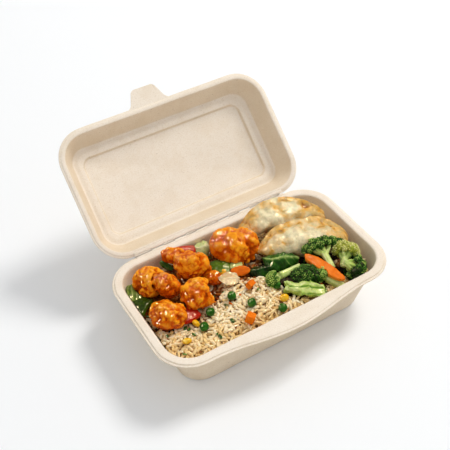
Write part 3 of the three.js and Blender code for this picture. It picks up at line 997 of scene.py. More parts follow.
@dataclass
class Lid:
    """The lid, built as it lies when shut and then swung open, with its tab."""

    half_x: float = 118.0
    length: float = 137.5
    gap: float = 0.45
    radius: float = 32.5
    least_radius: float = 9.0
    easing: Pair = (1.1, 3.0)
    waves: tuple[int, float, float] = (8, 24.0, 0.16)
    open_angle: float = 140.0
    tab_middle: float = -8.0
    tab_reach: float = 18.0
    tab_overlap: float = 1.8
    tab_height: float = 2.1
    tab_root: float = 21.0
    tab_tip: float = 12.5
    tab_flare: float = 5.0
    tab_thick: float = 1.1
    tab_rounding: float = 3.0
    tab_points: tuple[int, int, int] = (30, 12, 61)  # along it, in its tip, across it
    slit_x: float = 3.4
    slit_length: float = 7.5
    slit_width: float = 0.45
    slit_depth: float = 0.75
    profile: tuple[Pair, ...] = (
        # inset from the rim, height above the tray's rim
        (29, 25.4), (27.7, 24.9), (26.4, 22.2), (22, 21.4), (18, 22), (16.1, 21.1),
        (15, 19), (7.2, 2.6), (6.2, 1), (5.2, 0.45), (2.4, 0.45), (1.8, 1.35), (0, 1.45),
        (0, 2.75), (4.2, 2.55), (5.4, 3.6), (13.2, 20.2), (15, 22.9), (17.6, 23.5),
        (25, 23.5), (26.2, 26.4), (27.6, 26.9),
    )

    def swung(self, form: Form) -> Form:
        """A form of the shut lid, moved to where the lid stands open."""
        hinge = np.array(frame["joints"][0]["pos_m"]) / MM
        return form.moved(turned((-self.open_angle, 0, 0)), hinge)

    def shell(self) -> Form:
        """Builds the lid's shell.

        Returns:
            The form of the shut lid, with the hinge at y = 0.
        """
        half_y = (self.length - self.gap) / 2
        rings = []
        for inset, z in eased(np.array(self.profile), *self.easing):
            radius = max(self.radius - inset, self.least_radius)
            rings.append(rounded_ring(self.half_x - inset, half_y - inset, radius, z))
        shell = loft(np.array(rings))
        shell.points[:, 1] -= self.gap + half_y
        return waved(shell, self.waves, (0.4, 0.4, 1))

    def tab(self) -> Form:
        """Builds the tab, a thin tongue with flared roots, round tips and a cut.

        Returns:
            The form of the shut lid's tab.
        """
        run = self.tab_reach + self.tab_overlap
        straight, tip, wide = self.tab_points
        closing = 1 - 0.15 * (1 - np.linspace(0, 1, tip)[1:]) ** 2
        across = np.sin(np.linspace(-1, 1, wide) * math.pi / 2)
        rings = []
        for t in np.concatenate([np.linspace(0, 0.85, straight), closing]):
            flare = self.tab_flare * max(0.0, 1 - t / 0.3) ** 2
            past = max(0.0, t - 0.83) / 0.17
            drawn_in = self.tab_rounding * (1 - math.sqrt(max(0.0, 1 - past**2)))
            half = self.tab_root + (self.tab_tip - self.tab_root) * t + flare - drawn_in
            x = self.tab_middle + across * half
            y = np.full_like(x, -self.length + self.tab_overlap - t * run)
            edge = np.clip((1 - np.abs(across)) * half / 0.6, 0, 1)
            thick = self.tab_thick / 2 * np.sqrt(1 - (1 - edge) ** 2 + 0.04)
            cut = np.exp(-(((x - self.slit_x) / self.slit_width) ** 2))
            cut = cut * (t > 1 - self.slit_length / run)
            under = np.column_stack([x, y, self.tab_height - thick + self.slit_depth * cut])
            upper = np.column_stack([x, y, self.tab_height + thick])
            rings.append(np.vstack([under, upper[::-1]]))
        return loft(np.array(rings))

    def build(self) -> None:
        """Places the lid."""
        shell, tab = self.shell(), self.tab()
        # Painted shade darkens the lid's inner walls, its outer walls by half, and not its tab.
        paint_wall_shade(shell)
        tab.paint["wall_shade"] = np.zeros(len(tab.points))
        whole = Form.joined([shell, tab])
        place(self.swung(whole), "lid_shell", FIBRE, ("lid",), Body.LID)


@dataclass
class HingeCrease:
    """The fold between tray and lid: two thin bands, joined by webs between its slots."""

    half_length: float = 87.0
    first_slot: float = -68.0
    pitch: float = 25.0
    slot: float = 13.0
    slots: int = 7
    thick: float = 0.35
    # y and z of each band's section
    tray_band: tuple[Pair, ...] = (
        (69.4, 55.52), (70.4, 55.66), (71.4, 55.7), (72.2, 55.7))
    lid_band: tuple[Pair, ...] = (
        (73.3, 56.0), (74.0, 56.5), (74.9, 57.12), (76.2, 58.1))

    def strip(self, path: tuple[Pair, ...], left: float, right: float) -> Form:
        """Builds a thin band along x.

        Args:
            path: its section, from the tray towards the lid.
            left: where it starts.
            right: where it ends.

        Returns:
            The closed form.
        """
        rings = []
        for x in np.linspace(left, right, max(3, int((right - left) / 3))):
            upper = np.column_stack([np.full(len(path), x), np.array(path)])
            rings.append(np.vstack([upper - [0, 0, self.thick], upper[::-1]]))
        return loft(np.array(rings))

    def build(self) -> None:
        """Places the fold between the two bodies."""
        bands = [self.strip(path, -self.half_length, self.half_length)
                 for path in (self.tray_band, self.lid_band)]
        middle = self.tray_band[-2:] + self.lid_band[:2]
        starts = self.first_slot + self.pitch * np.arange(self.slots)
        lefts = np.concatenate([[-self.half_length], starts[:-1] + self.slot])
        bands += [self.strip(middle, left, right) for left, right in zip(lefts, starts)]
        crease = Form.joined(bands).to_object("hinge_crease")
        crease.data.materials.append(FIBRE.material())
        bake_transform(crease)
        LOG.info("hinge_crease: %d faces", len(crease.data.polygons))


# ---- the food


@dataclass
class Topping:
    """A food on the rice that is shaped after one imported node."""

    node: str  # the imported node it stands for
    seed: int  # number that its shape follows from

    @functools.cached_property
    def packed(self) -> Packed:
        """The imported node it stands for."""
        return Packed(self.node)

    @functools.cached_property
    def noise(self) -> Noise:
        """The source of its unevenness."""
        return Noise(self.seed)

    def dress(self, form: Form, label: str, finish: Finish, slot: str) -> None:
        """Places a painted form for the node, as a piece whose name ends with the label."""
        place(form, self.node + label, finish, (self.node,))


@dataclass
class GlazedChicken(Topping):
    """A piece of fried chicken: knobbly batter under a thick shiny glaze."""

    lump: float = 7.0  # distance between the large lumps of batter
    height: float = 2.6  # how high they stand
    bare: Triple = (-1.0, -0.3, 0.2)  # direction of the side where the glaze lies smooth
    bare_share: float = 0.25  # how far that side reaches, from 0 to 1
    warmth: float = 0.0  # shift of the tone; above 0 is more golden
    # drips of batter: place from the middle of the box, and length
    fingers: tuple[tuple[float, float, float, float], ...] = ()
    # least and most radius of a ball of batter, as shares of the lumps
    knob_sizes: Pair = (0.26, 0.62)
    # width, as a share of the lumps, and height of the knobs on the surface
    knobs: Pair = (0.42, 1.3)
    beads: Pair = (0.2, 0.25)  # the same for the beads between them
    # size of the faces while the folds are made, and when they are done
    voxels: Pair = (1.2, 1.13)

    def batter(self) -> list[Form]:
        """Builds the knobs and drips of batter as balls sunk in the surface.

        Returns:
            One form for each ball.
        """
        packed, blank = self.packed, ball(3)
        rng = np.random.default_rng(self.seed)
        bare = unit(np.array(self.bare))
        half = (packed.high - packed.low) / 2
        count = int(4 * math.pi * np.prod(half) ** (2 / 3) / (0.6 * self.lump**2))
        found = []
        for ahead in even_directions(count) + rng.normal(0, 0.2, (count, 3)):
            ahead = unit(ahead)
            size = self.lump * rng.uniform(*self.knob_sizes)
            proud = rng.uniform(-0.35, 0.3) * size
            hit = packed.tree.ray_cast(Vector(packed.middle), Vector(ahead))[0]
            if hit is None or ahead @ bare > 1 - 2 * self.bare_share:
                continue
            middle = np.array(hit) - ahead * (size - proud)
            shape = blank.points * size * rng.uniform(0.75, 1.25, 3)
            found.append(Form(shape @ random_turns(rng, 1)[0].T + middle, blank.faces))
        for x, y, z, reach in self.fingers:
            root = np.array([x, y, z])
            way = unit(root) * 0.55 - [0, 0, 0.8]
            for t in np.linspace(0, 1, 6):
                middle = packed.middle + root * 0.95 + way * reach * t
                thick = 3.1 - 0.9 * t + 0.6 * t**4
                found.append(Form(blank.points * thick + middle, blank.faces))
        return found

    def folds(self, points: Array) -> Array:
        """Large uneven folds of the batter, from 0 in the creases to 1 on the backs."""
        bent = points + 4.5 * self.noise.drift(points, 47.0, 13.0)
        return self.noise.domes(bent * [1, 1, 0.75] + 70, self.lump * 1.4, 7.0)

    def build(self) -> None:
        """Places the piece."""
        packed, noise = self.packed, self.noise
        base = packed.form(self.height * 0.35).fused(self.voxels[0], 3)
        base = base.pushed(1.5 * self.height * (self.folds(base.points) - 0.76))
        form = Form.joined([base, *self.batter()]).fused(self.voxels[1], 5, 1)
        p = form.points
        bent = p + 1.6 * noise.drift(p, 31.0, 6.0)
        knobs = noise.domes(bent + 50, self.lump * self.knobs[0], 8.0)
        beads = noise.domes(bent + 90, self.lump * self.beads[0], 7.0)
        away = unit(p - packed.middle) @ unit(np.array(self.bare))
        crusty = 1 - ramp(away, 0.7 - 2 * self.bare_share, 1.25 - 2 * self.bare_share)
        clouds = noise.smooth(p, 10.0, 2)
        rough = 0.4 + 0.6 * (crusty * ramp(noise.smooth(p + 15, 8.0, 2), -0.25, 0.4))
        rise = (self.knobs[1] * (knobs - 0.5) + self.beads[1] * (beads - 0.5)) * rough
        rise += 1.0 * (1 - crusty) + 0.35 * noise.smooth(p, 4.0, 3)
        form = form.pushed(rise)
        top = packed.high[2] + 0.5
        form.points[:, 2] = np.minimum(form.points[:, 2], top + 0.2 * (form.points[:, 2] - top))
        # The tone holds painted shade: darker in hollows, creases and low parts and facing down,
        # and painted light on crests and facing up; glaze pooled in the hollows darkens them too.
        crest_and_shade = np.clip(form.crests(60) / 0.8, -1.5, 1.3)
        fine = np.clip(form.crests(10) / 0.25, -1.3, 1.3)
        under = (packed.high[2] - form.points[:, 2]) / (packed.high[2] - packed.low[2])
        tone = 0.48 + self.warmth + 0.24 * crest_and_shade + 0.18 * clouds - 0.3 * under + 0.08 * fine
        tone += 0.26 * (self.folds(form.points) - 0.6) + 0.25 * (knobs - 0.6) * rough
        tone = (tone + 0.12 * form.normals()[:, 2]) * (0.75 + 0.25 * crusty)
        self.dress(form.toned(tone), "_glazed", GLAZE, "glazed_chicken")


@dataclass
class Dumpling(Topping):
    """A half-moon dumpling: thin browned dough over a lumpy filling, with a pleated seam."""

    turn: Triple  # its turns about x, y and z in degrees
    shift: Triple  # from the middle of the node's box to the dumpling's own middle
    length: float  # from tip to tip
    width: float  # from its belly to the start of the seam
    height: float  # its thickness
    crimp: float  # how far the pressed seam stands out
    bend: float  # how far its tips lean back
    lean: float  # how much fuller one end is
    pleats: float  # number of pleats along the seam
    browned: float = 0.5  # how brown it is fried, from 0 to 1
    taper: float = 0.16  # how much more pointed one end is
    grid: tuple[int, int] = (140, 112)  # number of points along it and around it

    def flat(self, values: Array, ends: float) -> Array:
        """The values of the rings' points in one row, with the value of both tips behind."""
        return np.append(np.broadcast_to(values, self.grid).ravel(), [ends, ends])

    def build(self) -> None:
        """Places the dumpling."""
        noise = self.noise
        along, around = self.grid
        u = np.sin(np.linspace(-1, 1, along) * math.pi / 2)[:, None] * 0.985
        angle = (np.linspace(0, 2 * math.pi, around, endpoint=False) + 0.01)[None, :]
        full = (1 - u * u) ** (0.7 - self.taper * u) * (1 + self.lean * u)
        side, up = np.cos(angle), np.sin(angle)
        near = np.abs((angle + math.pi) % (2 * math.pi) - math.pi)
        seam = ramp(0.5 - near, 0, 0.42)
        phase = u * math.pi * self.pleats
        spots = np.stack(np.broadcast_arrays(u * 30, side, up), -1).reshape(-1, 3)
        phase = phase + 1.5 * noise.smooth(spots, 9.0).reshape(self.grid)
        wave = np.cos(phase)
        y = self.width / 2 * full * side + self.crimp * seam * np.sqrt(full) * (1 + 0.04 * wave)
        y = y + self.bend * (0.5 - u * u)
        z = self.height / 2 * full * np.maximum(up * (1 - 0.35 * side), -0.8)
        z = z * (1 - 0.72 * seam) + 0.35 * np.sin(phase) * seam * np.sqrt(full)
        form = loft(np.stack(np.broadcast_arrays(self.length / 2 * u, y, z), -1))
        p = form.points
        fold = self.flat(ramp(1.5 - near, 0, 1.0) * (1 - seam) * np.sqrt(full)
                         * (0.5 + 0.5 * wave) ** 2, 0)
        body = self.flat(1 - seam, 1)
        tips = self.flat(np.abs(u) ** 2.2, 1)
        rim = self.flat(ramp(1.35 - near, 0, 1.3), 1)
        line = self.flat(ramp(0.2 - near, 0, 0.14), 1)
        dents = noise.domes(p + 20, 8.0, 5.0)
        creases = ramp(0.12 - np.abs(noise.smooth(p * [1, 0.6, 1], 8.0, 2)), 0, 0.12)
        lumps = 2.1 * noise.smooth(p, 13.0, 2) + 1.2 * (dents - 0.6) - 0.5 * creases
        form = form.pushed(body * lumps - 0.6 * fold + 0.08 * noise.smooth(p, 1.5, 2))
        sear = noise.smooth(p + 70, 16.0, 3)
        spots = ramp(noise.smooth(p + 30, 7.0, 3), 0.15, 0.6)
        gold = np.clip(1.25 * tips + 0.75 * rim + self.browned * (1.1 * sear + 0.15), 0, 1)
        tone = 0.04 + 0.45 * gold + 0.35 * gold * spots + 0.3 * fold * gold - 0.1 * dents
        tone += 0.3 * line * ramp(sear, -0.4, 0.3)
        middle = self.packed.middle + np.array(self.shift)
        self.dress(form.toned(tone).moved(turned(self.turn), middle), "_dough", DOUGH, "dough")


class FloretKind(Enum):
    """How ripe a floret is, as the finish of its buds."""

    DARK = BUDS
    YOUNG = YOUNG_BUDS


@dataclass
class Floret(Topping):
    """A broccoli floret: a branching stem whose twigs end in tight clusters of buds."""

    # its turns about x, y and z in degrees; the stem leaves the crown along -x
    turn: Triple
    shift: Triple  # from the middle of the node's box to the crown's middle
    radii: Triple  # half sizes of the crown
    stem: float  # length of the stem from the crown's middle
    stem_radius: float  # radius of the stem's cut end
    kind: FloretKind = FloretKind.DARK
    pale: float = 0.0  # shift of the buds' tone towards the pale end

    def build(self) -> None:
        """Places the floret as a stem piece and a bud piece."""
        rng = np.random.default_rng(self.seed)
        packed, turn = self.packed, turned(self.turn)
        middle = packed.middle + np.array(self.shift)
        radii = np.array(self.radii)
        out = even_directions(int(max(14, 0.028 * 4 * math.pi * (radii.prod()) ** (2 / 3))))
        out = out[out[:, 0] > -0.45]
        out = unit(out + rng.normal(0, 0.06, out.shape))
        heads = out * (radii - 2.6) * rng.uniform(0.86, 1.04, (len(out), 1))
        keep = packed.holds(heads @ turn.T + middle, 2.2)
        heads, out = heads[keep], out[keep]
        sizes = rng.uniform(2.7, 4.1, len(heads))
        buds = self._buds(rng, heads @ turn.T + middle, out @ turn.T, sizes)
        self.dress(buds, "_buds", self.kind.value, "broccoli_green")
        stems = self._stems(rng, heads, sizes).moved(turn, middle)
        place(stems, self.node + "_stalk", STEM)

    def _buds(self, rng: Rng, heads: Array, out: Array, sizes: Array) -> Form:
        """Builds the clusters of buds, with painted light outward and up and painted shade inside.

        Args:
            rng: source of the unevenness.
            heads: middles of the clusters.
            out: outward direction of each cluster.
            sizes: radius of each cluster.

        Returns:
            The form of all clusters.
        """
        places, tones, parts = [], [], []
        core = ball(2)
        # The cores of the clusters are painted darkest, as painted shade between the buds.
        dark = np.full(len(core.points), max(0.0, self.pale - 0.05))
        for head, ahead, size in zip(heads, out, sizes):
            around = even_directions(int(15 * size))
            around = around[around @ ahead > -0.35]
            places.append(head + around * size * rng.uniform(0.88, 1.06, (len(around), 1)))
            # Painted light and shade: buds are lighter where they face out of their cluster and
            # up.
            shade = rng.uniform(0.12, 0.42) + 0.55 * (around @ ahead - 0.35) + 0.15 * around[:, 2]
            tones.append(shade + self.pale + rng.normal(0, 0.16, len(around)))
            parts.append(Form(core.points * size * 0.93 + head, core.faces, {"tone": dark}))
        spots, shades = np.concatenate(places), np.concatenate(tones)
        keep = self.packed.holds(spots, 2.6)
        spots, shades = spots[keep], shades[keep]
        scales = np.repeat(rng.uniform(0.6, 0.95, (len(spots), 1)), 3, axis=1)
        turns = random_turns(rng, len(spots))
        tight = scattered(ball(1), turns, scales, spots, np.clip(shades, 0, 1))
        return Form.joined([tight, *parts])

    def _stems(self, rng: Rng, heads: Array, sizes: Array) -> Form:
        """Builds the stem and its twigs.

        Args:
            rng: source of the unevenness.
            heads: middles of the clusters, in the floret's own axes.
            sizes: radius of each cluster.

        Returns:
            The form of stem and twigs.
        """
        back = -0.9 * self.radii[0]
        end = np.array([-self.stem, 0.0, 0.0])
        fork = np.array([back, 0.0, 0.0])
        tubes = [self._tube((end, (end + fork) / 2, fork),
                            (self.stem_radius, self.stem_radius * 1.2), (0.75, 0.6), rng)]
        gaps = np.linalg.norm(heads[:, None] - heads[None], axis=2)
        hubs = [int(np.argmax(heads[:, 1]))]
        while len(hubs) < max(3, len(heads) // 5):
            hubs.append(int(np.argmax(gaps[:, hubs].min(1))))
        owner = gaps[:, hubs].argmin(1)
        for branch in range(len(hubs)):
            mine = np.flatnonzero(owner == branch)
            hub = heads[mine].mean(0) * [0.5, 0.62, 0.62]
            start = np.array([back + rng.uniform(-3.5, 1.0), 0, 0])
            knee = np.array([start[0] * 0.6 + hub[0] * 0.4, hub[1] * 0.8, hub[2] * 0.8])
            thick = min(2.4, 1.1 + 0.22 * len(mine))
            tubes.append(self._tube((start, knee, hub), (self.stem_radius * 0.75, thick),
                                    (0.62, 0.5), rng))
            for k in mine:
                knee = hub * 0.5 + heads[k] * [0.3, 0.6, 0.6]
                tubes.append(self._tube((hub, knee, heads[k]), (thick * 0.85, sizes[k] * 0.38),
                                        (0.5, 0.3), rng))
        return Form.joined(tubes)

    @staticmethod
    def _tube(path: tuple[Array, Array, Array], radii: Pair,
              tones: Pair, rng: Rng, count: int = 11) -> Form:
        """A bent tapered stalk with a ribbed round section.

        Args:
            path: where it starts, the point that it bends towards, and where it ends.
            radii: radius at its start and at its end.
            tones: tone at its start and at its end.
            rng: source of the unevenness.
            count: number of rings, and of points in each.

        Returns:
            The form, with its tone painted.
        """
        start, knee, end = path
        first, last = radii
        low, high = tones
        t = np.linspace(0, 1, count)[:, None]
        line = (1 - t) ** 2 * start + 2 * t * (1 - t) * knee + t * t * end
        lead = np.gradient(line, axis=0)
        lead /= np.maximum(np.linalg.norm(lead, axis=1, keepdims=True), 1e-6)
        side = unit(np.cross(lead, [0.1, 0.2, 1.0]))
        over = np.cross(lead, side)
        angle = np.linspace(0, 2 * math.pi, count, endpoint=False)
        ribs = 1 + 0.1 * np.cos(angle * 5 + rng.uniform(0, 6)) + 0.05 * rng.normal(size=len(angle))
        radius = (first + (last - first) * t) * ribs
        circle = (np.cos(angle)[None, :, None] * side[:, None]
                  + np.sin(angle)[None, :, None] * over[:, None])
        tube = loft(line[:, None] + radius[..., None] * circle)
        tone = np.clip(low + (high - low) * t + 1.1 * (ribs[None] - 1), 0, 1)
        tube.paint["tone"] = np.append(tone.ravel(), [0.85, high])
        return tube


@dataclass
class Vegetable(Topping):
    """A vegetable that lies at an angle."""

    finish: Finish
    slot: str  # the record's material slot
    turn: Triple  # its turns about x, y and z in degrees


@dataclass
class Leaf(Vegetable):
    """A limp leaf: a curled sheet with a stout middle vein and side veins."""

    curl: float = 1.5  # how far its sides hang down, as a share of its packed thickness
    ripple: float = 1.6  # height of the waves along its edges
    veins: float = 6.0  # distance between the side veins
    shade: float = 0.28  # tone between the veins
    lit: float = 0.5  # how much paler the veins and the stalk end are
    share: float = 1.0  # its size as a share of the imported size
    grid: tuple[int, int] = (72, 44)  # number of points along it and across it

    def build(self) -> None:
        """Places the leaf."""
        packed, turn = self.packed, turned(self.turn)
        half = np.abs((packed.form().points - packed.middle) @ turn).max(0) * self.share
        u = np.linspace(-1, 1, self.grid[0])[:, None]
        v = np.sin(np.linspace(-1, 1, self.grid[1]) * math.pi / 2)[None, :]
        x = half[0] * u * (1 - 0.1 * v * v)
        y = half[1] * v * np.maximum(1 - np.abs(u) ** 2.2, 0.02) ** 0.5
        spots = np.stack([x, y, 0 * x], -1).reshape(-1, 3)
        cloud = self.noise.smooth(spots, 9.0, 3).reshape(x.shape)
        wave = self.noise.smooth(spots + 40, 6.0, 2).reshape(x.shape)
        bow = v - 0.18 * np.sin(u * 2.2)
        z = half[2] * (0.75 - self.curl * np.abs(bow) ** 1.8) + self.ripple * wave * (0.25 + v * v)
        z += 0.8 * cloud
        phase = (x - 0.9 * np.abs(bow) * half[1] + 1.4 * cloud) / self.veins
        side = np.exp(-(((phase % 1) - 0.5) ** 2) / 0.012) * ramp(np.abs(bow), 0.0, 0.1)
        stout = np.exp(-((bow * half[1] / (1.1 + 0.9 * (u + 1))) ** 2))
        z += 0.9 * stout + 0.3 * side
        thick = 0.35 + 0.35 * stout
        leaf = loft(np.concatenate([np.stack([x, y, z + thick], -1),
                                    np.stack([x, y, z - thick], -1)[:, ::-1]], axis=1))
        tone = self.shade + self.lit * (0.9 * stout + 0.45 * side) + 0.25 * cloud
        tone += 0.35 * self.lit * ramp(u, 0.45, 1.0)
        tone = np.concatenate([tone, tone[:, ::-1] + 0.1], axis=1)
        leaf = leaf.toned(np.append(tone.ravel(), [0.5, 0.5])).moved(turn, packed.middle)
        self.dress(leaf, "_leaf", self.finish, self.slot)


@dataclass
class Cut(Vegetable):
    """A slice or cut piece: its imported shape, softened, ribbed and wrinkled."""

    voxel: float = 0.5  # size of its faces in millimetres
    rounds: int = 4  # how much its edges are rounded
    wrinkle: Pair = (0.3, 6.0)  # height and width of its wrinkles
    ribs: Pair = (0.0, 4.0)  # height and distance of the ribs that run along it
    fan: float = 0.0  # how much the ribs spread from one end
    tones: Triple = (0.45, 0.8, 0.0)  # tone of its skin, of its cut edges and of its ribs
    swell: float = 0.25  # how far the surface is pushed out again after rounding
    warp: float = 0.5  # how far its outline is bent out of line

    def build(self) -> None:
        """Places the piece."""
        packed, noise, turn = self.packed, self.noise, turned(self.turn)
        form = packed.form().fused(self.voxel, self.rounds)
        own = (form.points - packed.middle) @ turn
        flat = 1 - ramp(np.abs(form.normals() @ turn[:, 2]), 0.35, 0.9)
        height, pitch = self.ribs
        line = own[:, 1] + self.fan * own[:, 0] * own[:, 1] / 20 + 0.8 * noise.smooth(own, 12.0)
        rib = (0.5 + 0.5 * np.cos(line / pitch * 2 * math.pi)) ** 3 * (1 - flat)
        wave = noise.smooth(own, self.wrinkle[1], 2)
        form.points = form.points + self.warp * noise.drift(own, 25.0, 13.0) * [1.6, 1.6, 0.8]
        form = form.pushed(self.swell + self.wrinkle[0] * wave + height * rib)
        skin, edge, lit = self.tones
        tone = skin + (edge - skin) * flat + lit * rib + 0.14 * noise.smooth(own, 4.0, 2)
        self.dress(form.toned(tone), "_cut", self.finish, self.slot)


class RoundKind(Enum):
    """A small round vegetable: its finish and its slot."""

    PEA = (PEA, "pea")
    CORN = (CORN, "corn")


@dataclass
class RoundBit(Topping):
    """A pea or a corn kernel with its dimple and slight unevenness."""

    kind: RoundKind  # what it is
    raised: float = 0.0  # how far it lies above its packed place

    def build(self) -> None:
        """Places the pea or kernel."""
        packed, noise, base = self.packed, self.noise, ball(4)
        rng = np.random.default_rng(self.seed)
        half = (packed.high - packed.low) / 2
        p = base.points.copy()
        lead = unit(rng.normal(size=3) * [1, 1, 0.4] + [0, 0, 0.9])
        dimple = ramp(p @ lead, 0.82, 1.0)
        if self.kind is RoundKind.CORN:
            across = unit(np.cross(lead, rng.normal(size=3)))
            p *= (1.05 - 0.2 * (p @ lead))[:, None]
            p -= 0.35 * (p @ across)[:, None] * across
        p *= (1 - 0.1 * dimple + 0.03 * noise.smooth(p, 0.9, 2))[:, None]
        form = Form(p * half * 1.02 + packed.middle + [0, 0, self.raised], base.faces)
        tone = 0.45 + 0.35 * noise.smooth(p, 1.1, 2) + 0.25 * ramp(-p @ lead, 0.5, 1)
        self.dress(form.toned(tone), "_round", *self.kind.value)


@dataclass
class RiceHeap:
    """Fried rice: loose grains over a rough smaller core."""

    tray: Tray
    seed: int = 40
    step: float = 1.0  # distance between the points of the height map
    # length and thickness of a grain, its rings and the points in each
    length: float = 7.4
    width: float = 3.3
    grain_grid: tuple[int, int] = (7, 6)
    # depth below the outline and spacing of each layer of grains
    layers: tuple[Pair, ...] = ((2.5, 3.2), (1.2, 3.1), (-0.1, 3.3))
    # least room above a grain, and least distance from it to the tray's wall
    headroom: float = 3.0
    wall_gap: float = 1.2
    # depth of the core below the outline, its half sizes and its points along and across
    sunk: float = 3.6
    core_half: Pair = (110.6, 58.6)
    core_corner: float = 24.0
    core_grid: tuple[int, int] = (200, 110)
    core_floor: float = 4.0
    # the core's tone: painted shade under vegetables, sauce and painted shade by the chicken,
    # plain elsewhere
    core_tones: Triple = (0.05, 0.42, 0.85)
    # where vegetables start along x, and for the core's painted shade and for leaving out grains,
    # how far in front and how far round them they count
    veg_from: float = 16.0
    veg_front: Pair = (-50.0, -48.0)
    veg_reach: Pair = (10.0, 11.0)
    # where the back of the heap starts along y, at the left and past an x; how far sauce and
    # painted shade darken grains there, between two pieces of chicken and beside their vegetables
    back_from: Pair = (6.0, -9.0)
    back_turn: float = -14.0
    sauce_and_shade_reach: float = 10.0
    between: Pair = (12.0, 14.0)
    beside: float = 4.0
    # found by the survey: what lies on the rice, and maps of its height and headroom
    food: BVHTree = field(init=False)
    chicken: BVHTree = field(init=False)
    sides: BVHTree = field(init=False)
    greens: BVHTree = field(init=False)
    pieces: list[BVHTree] = field(init=False)
    x: Array = field(init=False)
    y: Array = field(init=False)
    top: Array = field(init=False)
    room: Array = field(init=False)

    def survey(self) -> None:
        """Maps the heap's outline and what lies on it."""
        packed = Packed("rice")
        others = [n for n in frame["nodes"] if n not in ("rice", "tray", "lid")]
        small = ("pea", "corn", "carrot_dice", "egg", "chicken", "red", "green_p", "pale")
        chicken = [n for n in others if n.startswith("chicken")]
        self.food = Packed.tree_of(others)
        self.chicken = Packed.tree_of(chicken)
        self.pieces = [Packed(n).tree for n in chicken]
        self.sides = Packed.tree_of(
            [n for n in others if n.startswith(("green_p", "red", "pale"))])
        self.greens = Packed.tree_of([n for n in others if not n.startswith(small)])
        self.x = np.arange(packed.low[0], packed.high[0] + self.step, self.step)
        self.y = np.arange(packed.low[1], packed.high[1] + self.step, self.step)
        self.top = np.full((len(self.x), len(self.y)), np.nan)
        self.room = np.full(self.top.shape, 99.0)
        for (i, x), (j, y) in product(enumerate(self.x), enumerate(self.y)):
            hit = packed.tree.ray_cast(Vector((x, y, 90)), Vector((0, 0, -1)))[0]
            if hit is None:
                continue
            self.top[i, j] = hit.z
            over = self.food.ray_cast(Vector((x, y, hit.z + 0.05)), Vector((0, 0, 1)))
            if over[0] is not None:
                self.room[i, j] = over[3]
        self.top = np.where(np.isnan(self.top), np.nanmedian(self.top), self.top)

    def read(self, grid: Array, x: Array, y: Array) -> Array:
        """Reads a map at places between its points.

        Args:
            grid: the map.
            x: where along x.
            y: where along y.

        Returns:
            One value for each place.
        """
        fx = np.clip((x - self.x[0]) / self.step, 0, len(self.x) - 1.001)
        fy = np.clip((y - self.y[0]) / self.step, 0, len(self.y) - 1.001)
        i, j = fx.astype(int), fy.astype(int)
        u, v = fx - i, fy - j
        low = grid[i, j] * (1 - v) + grid[i, j + 1] * v
        high = grid[i + 1, j] * (1 - v) + grid[i + 1, j + 1] * v
        return low * (1 - u) + high * u

    def strewn(self, rng: Rng, count: int, above: float) -> Array:
        """Random places over the whole heap, so far above its outline."""
        x, y = (rng.uniform(axis[0], axis[-1], count) for axis in (self.x, self.y))
        return np.column_stack([x, y, self.read(self.top, x, y) + above])

    @staticmethod
    def distances(tree: BVHTree, points: Array) -> Array:
        """Distance of each point to the faces of a tree."""
        return np.array([tree.find_nearest(Vector(p))[3] for p in points])

    def crowded(self, points: Array) -> Array:
        """Whether each point lies between pieces of chicken or beside their vegetables."""
        gaps = np.sort(np.stack([self.distances(tree, points) for tree in self.pieces]), axis=0)
        return ((self.distances(self.sides, points) < self.beside)
                | np.all(gaps[:2] < np.array(self.between)[:, None], axis=0))

    def sauced_and_shaded(self, points: Array) -> Array:
        """Tests where grains are dark: sauce has run into the rice, and shade is painted there.

        Args:
            points: places, one row each.

        Returns:
            True or false for each point.
        """
        start = np.where(points[:, 0] > self.back_turn, self.back_from[1], self.back_from[0])
        near = self.distances(self.food, points) < self.sauce_and_shade_reach
        behind = (points[:, 1] > start) & (points[:, 0] < self.veg_from)
        return self.crowded(points) | (behind & near)

    def _plan(self) -> Array:
        """Builds the plan of the core, a rounded rectangle filled with even rows.

        Returns:
            The x and y of its points, row after row.
        """
        half_x, half_y = self.core_half
        along, across = self.core_grid
        radius = self.core_corner
        rows = []
        for v in np.linspace(-1, 1, across):
            y = v * half_y
            past = max(0.0, abs(y) - (half_y - radius))
            reach = half_x - (radius - math.sqrt(max(0.0, radius**2 - past**2)))
            rows.append(np.column_stack([np.linspace(-1, 1, along) * reach, np.full(along, y)]))
        return np.vstack(rows)

    def core(self) -> Form:
        """Builds the core under the grains.

        Returns:
            The closed form, its tone painted: shade under the vegetables, sauce and shade by the
                chicken.
        """
        noise = Noise(self.seed)
        x, y = self._plan().T
        spots = np.column_stack([x, y, np.zeros_like(x)])
        z = self.read(self.top, x, y) - self.sunk
        z += 1.3 * (noise.domes(spots, 3.4) - 0.6) + 0.5 * noise.smooth(spots, 9.0, 2)
        points = np.column_stack([x, y, z])
        over = self.tray.outside_by(points) + 0.7
        inward = points[:, :2] / np.maximum(np.linalg.norm(points[:, :2], axis=1), 1)[:, None]
        points[:, :2] -= inward * np.maximum(over, 0)[:, None]
        index = np.arange(len(points)).reshape(self.core_grid[::-1])
        quads = np.stack([index[:-1, :-1], index[:-1, 1:], index[1:, 1:], index[1:, :-1]], -1)
        border = np.concatenate([index[0, :-1], index[:-1, -1], index[-1, :0:-1], index[:0:-1, 0]])
        skirt = points[border] * [0.87, 0.87, 0] + [0, 0, self.core_floor]
        below = np.arange(len(border)) + len(points)
        wall = np.stack([border, below, np.roll(below, -1), np.roll(border, -1)], -1)
        hub = len(points) + len(border)
        floor = np.stack([np.full(len(below), hub), np.roll(below, -1), below], -1)
        near = self.distances(self.chicken, points)
        # Painted shade: under the vegetables the core is painted near black.
        green = (points[:, 0] > self.veg_from) & (points[:, 1] > self.veg_front[0])
        green &= self.distances(self.greens, points) < self.veg_reach[0]
        shaded, dark, plain = self.core_tones
